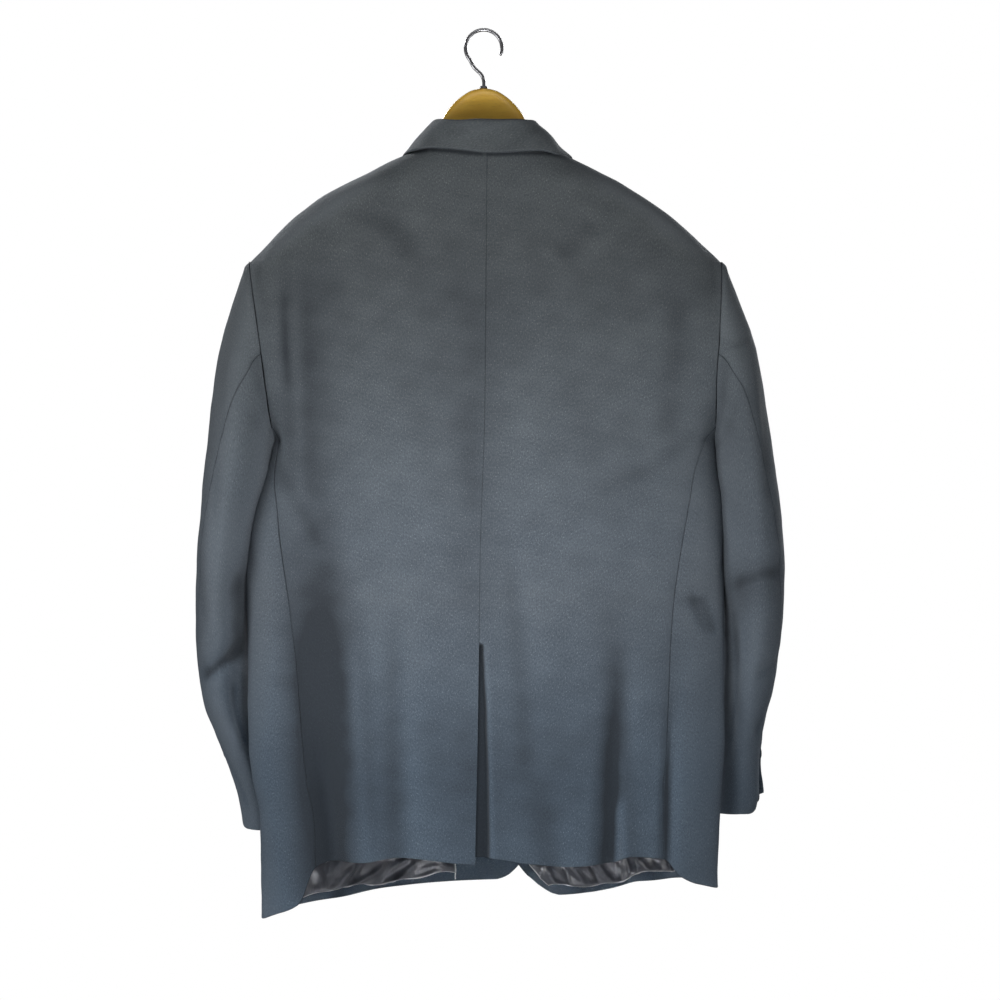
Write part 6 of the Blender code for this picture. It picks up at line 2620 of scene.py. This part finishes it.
@dataclass(frozen=True)
class Hook:
    """The steel wire that rises from the wood and loops over the rail."""

    radius: float = 0.02
    wire: float = 0.002
    start: float = -40.0
    sweep: float = 245.0
    ferrule: tuple[tuple[float, float], ...] = (
        (-0.0632, 0.004), (-0.0626, 0.0046), (-0.0606, 0.0044), (-0.06, 0.0034))

    def build(self, looks: Looks) -> None:
        """Makes the wire, with a rounded end and a small ferrule at the wood.

        Args:
            looks: The finishes.
        """
        centre_z = self.wire - self.radius
        turns = np.radians(np.linspace(self.start, self.start + self.sweep, 80))
        loop = np.stack([self.radius * np.cos(turns), centre_z + self.radius * np.sin(turns)], 1)
        shank = rounded_spline([(0.0, -0.064), (0.0, -0.054), (0.003, -0.047),
                                (0.0105, -0.0395), tuple(loop[0])], 10)
        flat = np.concatenate([shank[:-1], loop])
        path = np.stack([flat[:, 0], np.zeros(len(flat)), flat[:, 1]], 1)
        run = running_length(path[None], 1)[0]
        to_end = (run[-1] - run) / self.wire
        radii = self.wire * np.sqrt(np.clip(1 - (1 - np.clip(to_end, 0.02, 1)) ** 2, 0, 1))
        bundle = Bundle()
        bundle.add_tube(path, radii, 18)
        bundle.add_tube([(0.0, 0.0, z) for z, _ in self.ferrule],
                        np.array([radius for _, radius in self.ferrule]), 28)
        bundle.made("hook_wire", [looks.steel], "brushed_steel", "hook")


# ---- the studio
@dataclass(frozen=True)
class SoftLight:
    """A soft rectangular lamp, aimed at a place on the coat."""

    name: str
    place: tuple[float, float, float]
    aim: tuple[float, float, float]
    size: tuple[float, float]
    power: float
    colour: Colour = (1.0, 1.0, 1.0)
    spread: float = 180.0

    def build(self) -> None:
        """Hangs the lamp."""
        lamp = bpy.data.lights.new(self.name, "AREA")
        lamp.shape, lamp.size, lamp.size_y = "RECTANGLE", *self.size
        lamp.energy, lamp.color = self.power, self.colour
        lamp.spread = math.radians(self.spread)
        made = bpy.data.objects.new(self.name, lamp)
        made.location = self.place
        made.visible_camera = False
        towards = Vector(self.aim) - Vector(self.place)
        made.rotation_euler = towards.to_track_quat("-Z", "Y").to_euler()
        bpy.context.scene.collection.objects.link(made)


@dataclass(frozen=True)
class Studio:
    """The camera, the lamps, a white surround and a pale floor."""

    camera: tuple[float, float, float] = (-0.0179, 3.0, -0.5152)
    half_view: float = 0.55
    ambient: float = 0.12
    floor_z: float = -1.75
    floor_radius: float = 0.8
    floor_fades: tuple[float, float] = (0.06, 0.5)
    lamps: tuple[SoftLight, ...] = (
        SoftLight("key", (0.03, 0.7, -0.57), (0.02, 0.0, -0.56), (0.4, 0.2), 3.9),
        SoftLight("left_side", (1.3, 0.9, -0.8), (0.1, 0.0, -0.68), (0.6, 0.7), 10.0),
        SoftLight("right_side", (-1.3, 0.9, -0.72), (0.0, 0.0, -0.64), (0.6, 0.8), 4.8),
        SoftLight("high_back", (0.0, 0.9, 0.95), (0.0, 0.0, -0.2), (1.2, 0.4), 3.0),
        SoftLight("under_hem", (0.0, 0.45, -1.16), (0.0, -0.08, -0.938), (0.6, 0.03), 0.046,
                  (0.93, 0.95, 1.0), 15.0),
        SoftLight("front_fill", (-0.6, -2.2, 0.1), (0.0, 0.0, -0.55), (1.6, 1.4), 56.0),
        SoftLight("into_neck", (0.42, -0.5, 0.2), (-0.05, 0.03, -0.36), (0.2, 0.2), 0.7,
                  (1.0, 1.0, 1.0), 60.0),
    )

    def build(self) -> None:
        """Sets up the studio."""
        scene = bpy.context.scene
        scene.view_settings.view_transform = "Standard"
        eye = bpy.data.cameras.new("camera")
        eye.angle = 2 * math.atan(self.half_view / self.camera[1])
        placed = bpy.data.objects.new("camera", eye)
        placed.location = self.camera
        placed.rotation_euler = (math.radians(90), 0.0, math.radians(180))
        scene.collection.objects.link(placed)
        scene.camera = placed
        for lamp in self.lamps:
            lamp.build()
        scene.world = self.surround()
        self.floor()

    def surround(self) -> bpy.types.World:
        """White to the eye, and a softer light on the coat.

        Returns:
            The surround.
        """
        m = Mixture(bpy.data.worlds.new("surround"))
        seen = m.node("ShaderNodeBackground", None, {"Color": (1.0, 1.0, 1.0)})
        lit = m.node("ShaderNodeBackground", None, {"Strength": self.ambient})
        by_eye = m.node("ShaderNodeLightPath", output="Is Camera Ray")
        both = m.node("ShaderNodeMixShader", None, {0: by_eye, 1: lit, 2: seen})
        return m.shown(both, "ShaderNodeOutputWorld")

    def floor(self) -> bpy.types.Object:
        """A pale round floor that fades out before it meets the surround.

        Returns:
            The floor.
        """
        turns, radii = ring_turns(96), np.linspace(0.001, self.floor_radius, 30)
        places = np.concatenate([np.stack([np.cos(turns) * r, np.sin(turns) * r,
                                           np.full_like(turns, self.floor_z)], 1)
                                 for r in radii])
        m = new_mixture("pale_floor")
        place = m.node("ShaderNodeTexCoord", output="Object")
        x, y = m.part_of(place, "X"), m.part_of(place, "Y")
        away = (x * x + y * y).between(*self.floor_fades)
        grain = m.noise(place, 6.0, 3.0).between(0.3, 0.7)
        pale = m.node("ShaderNodeBsdfDiffuse", None,
                      {"Color": m.mix(grain, (0.86, 0.86, 0.86), (0.9, 0.9, 0.9))})
        clear = m.node("ShaderNodeBsdfTransparent")
        faded = m.node("ShaderNodeMixShader", None, {0: away, 1: pale, 2: clear})
        faces = tube_faces(len(radii), len(turns), capped=False)
        return mesh_object("floor", places, faces, [m.shown(faded)], [0] * len(faces))


# ---- the whole coat
def main() -> None:
    """Builds the coat piece by piece, then the studio round it."""
    logging.basicConfig(level=logging.INFO, format="%(name)s: %(message)s")
    looks = Looks()
    pieces: list[ClothPiece] = [Collar(), *PATCHES]
    for side in (LEFT, RIGHT):
        pieces += [Back(side), SidePanel(side), Front(side), Lapel(side),
                   Lining(side), Sleeve(side, True), Sleeve(side, False)]
    for piece in pieces:
        piece.build(looks)
    Buttons().build(looks)
    Stitching().build(looks)
    Hanger().build(looks)
    Hook().build(looks)
    Studio().build()


if __name__ == "__main__":
    main()
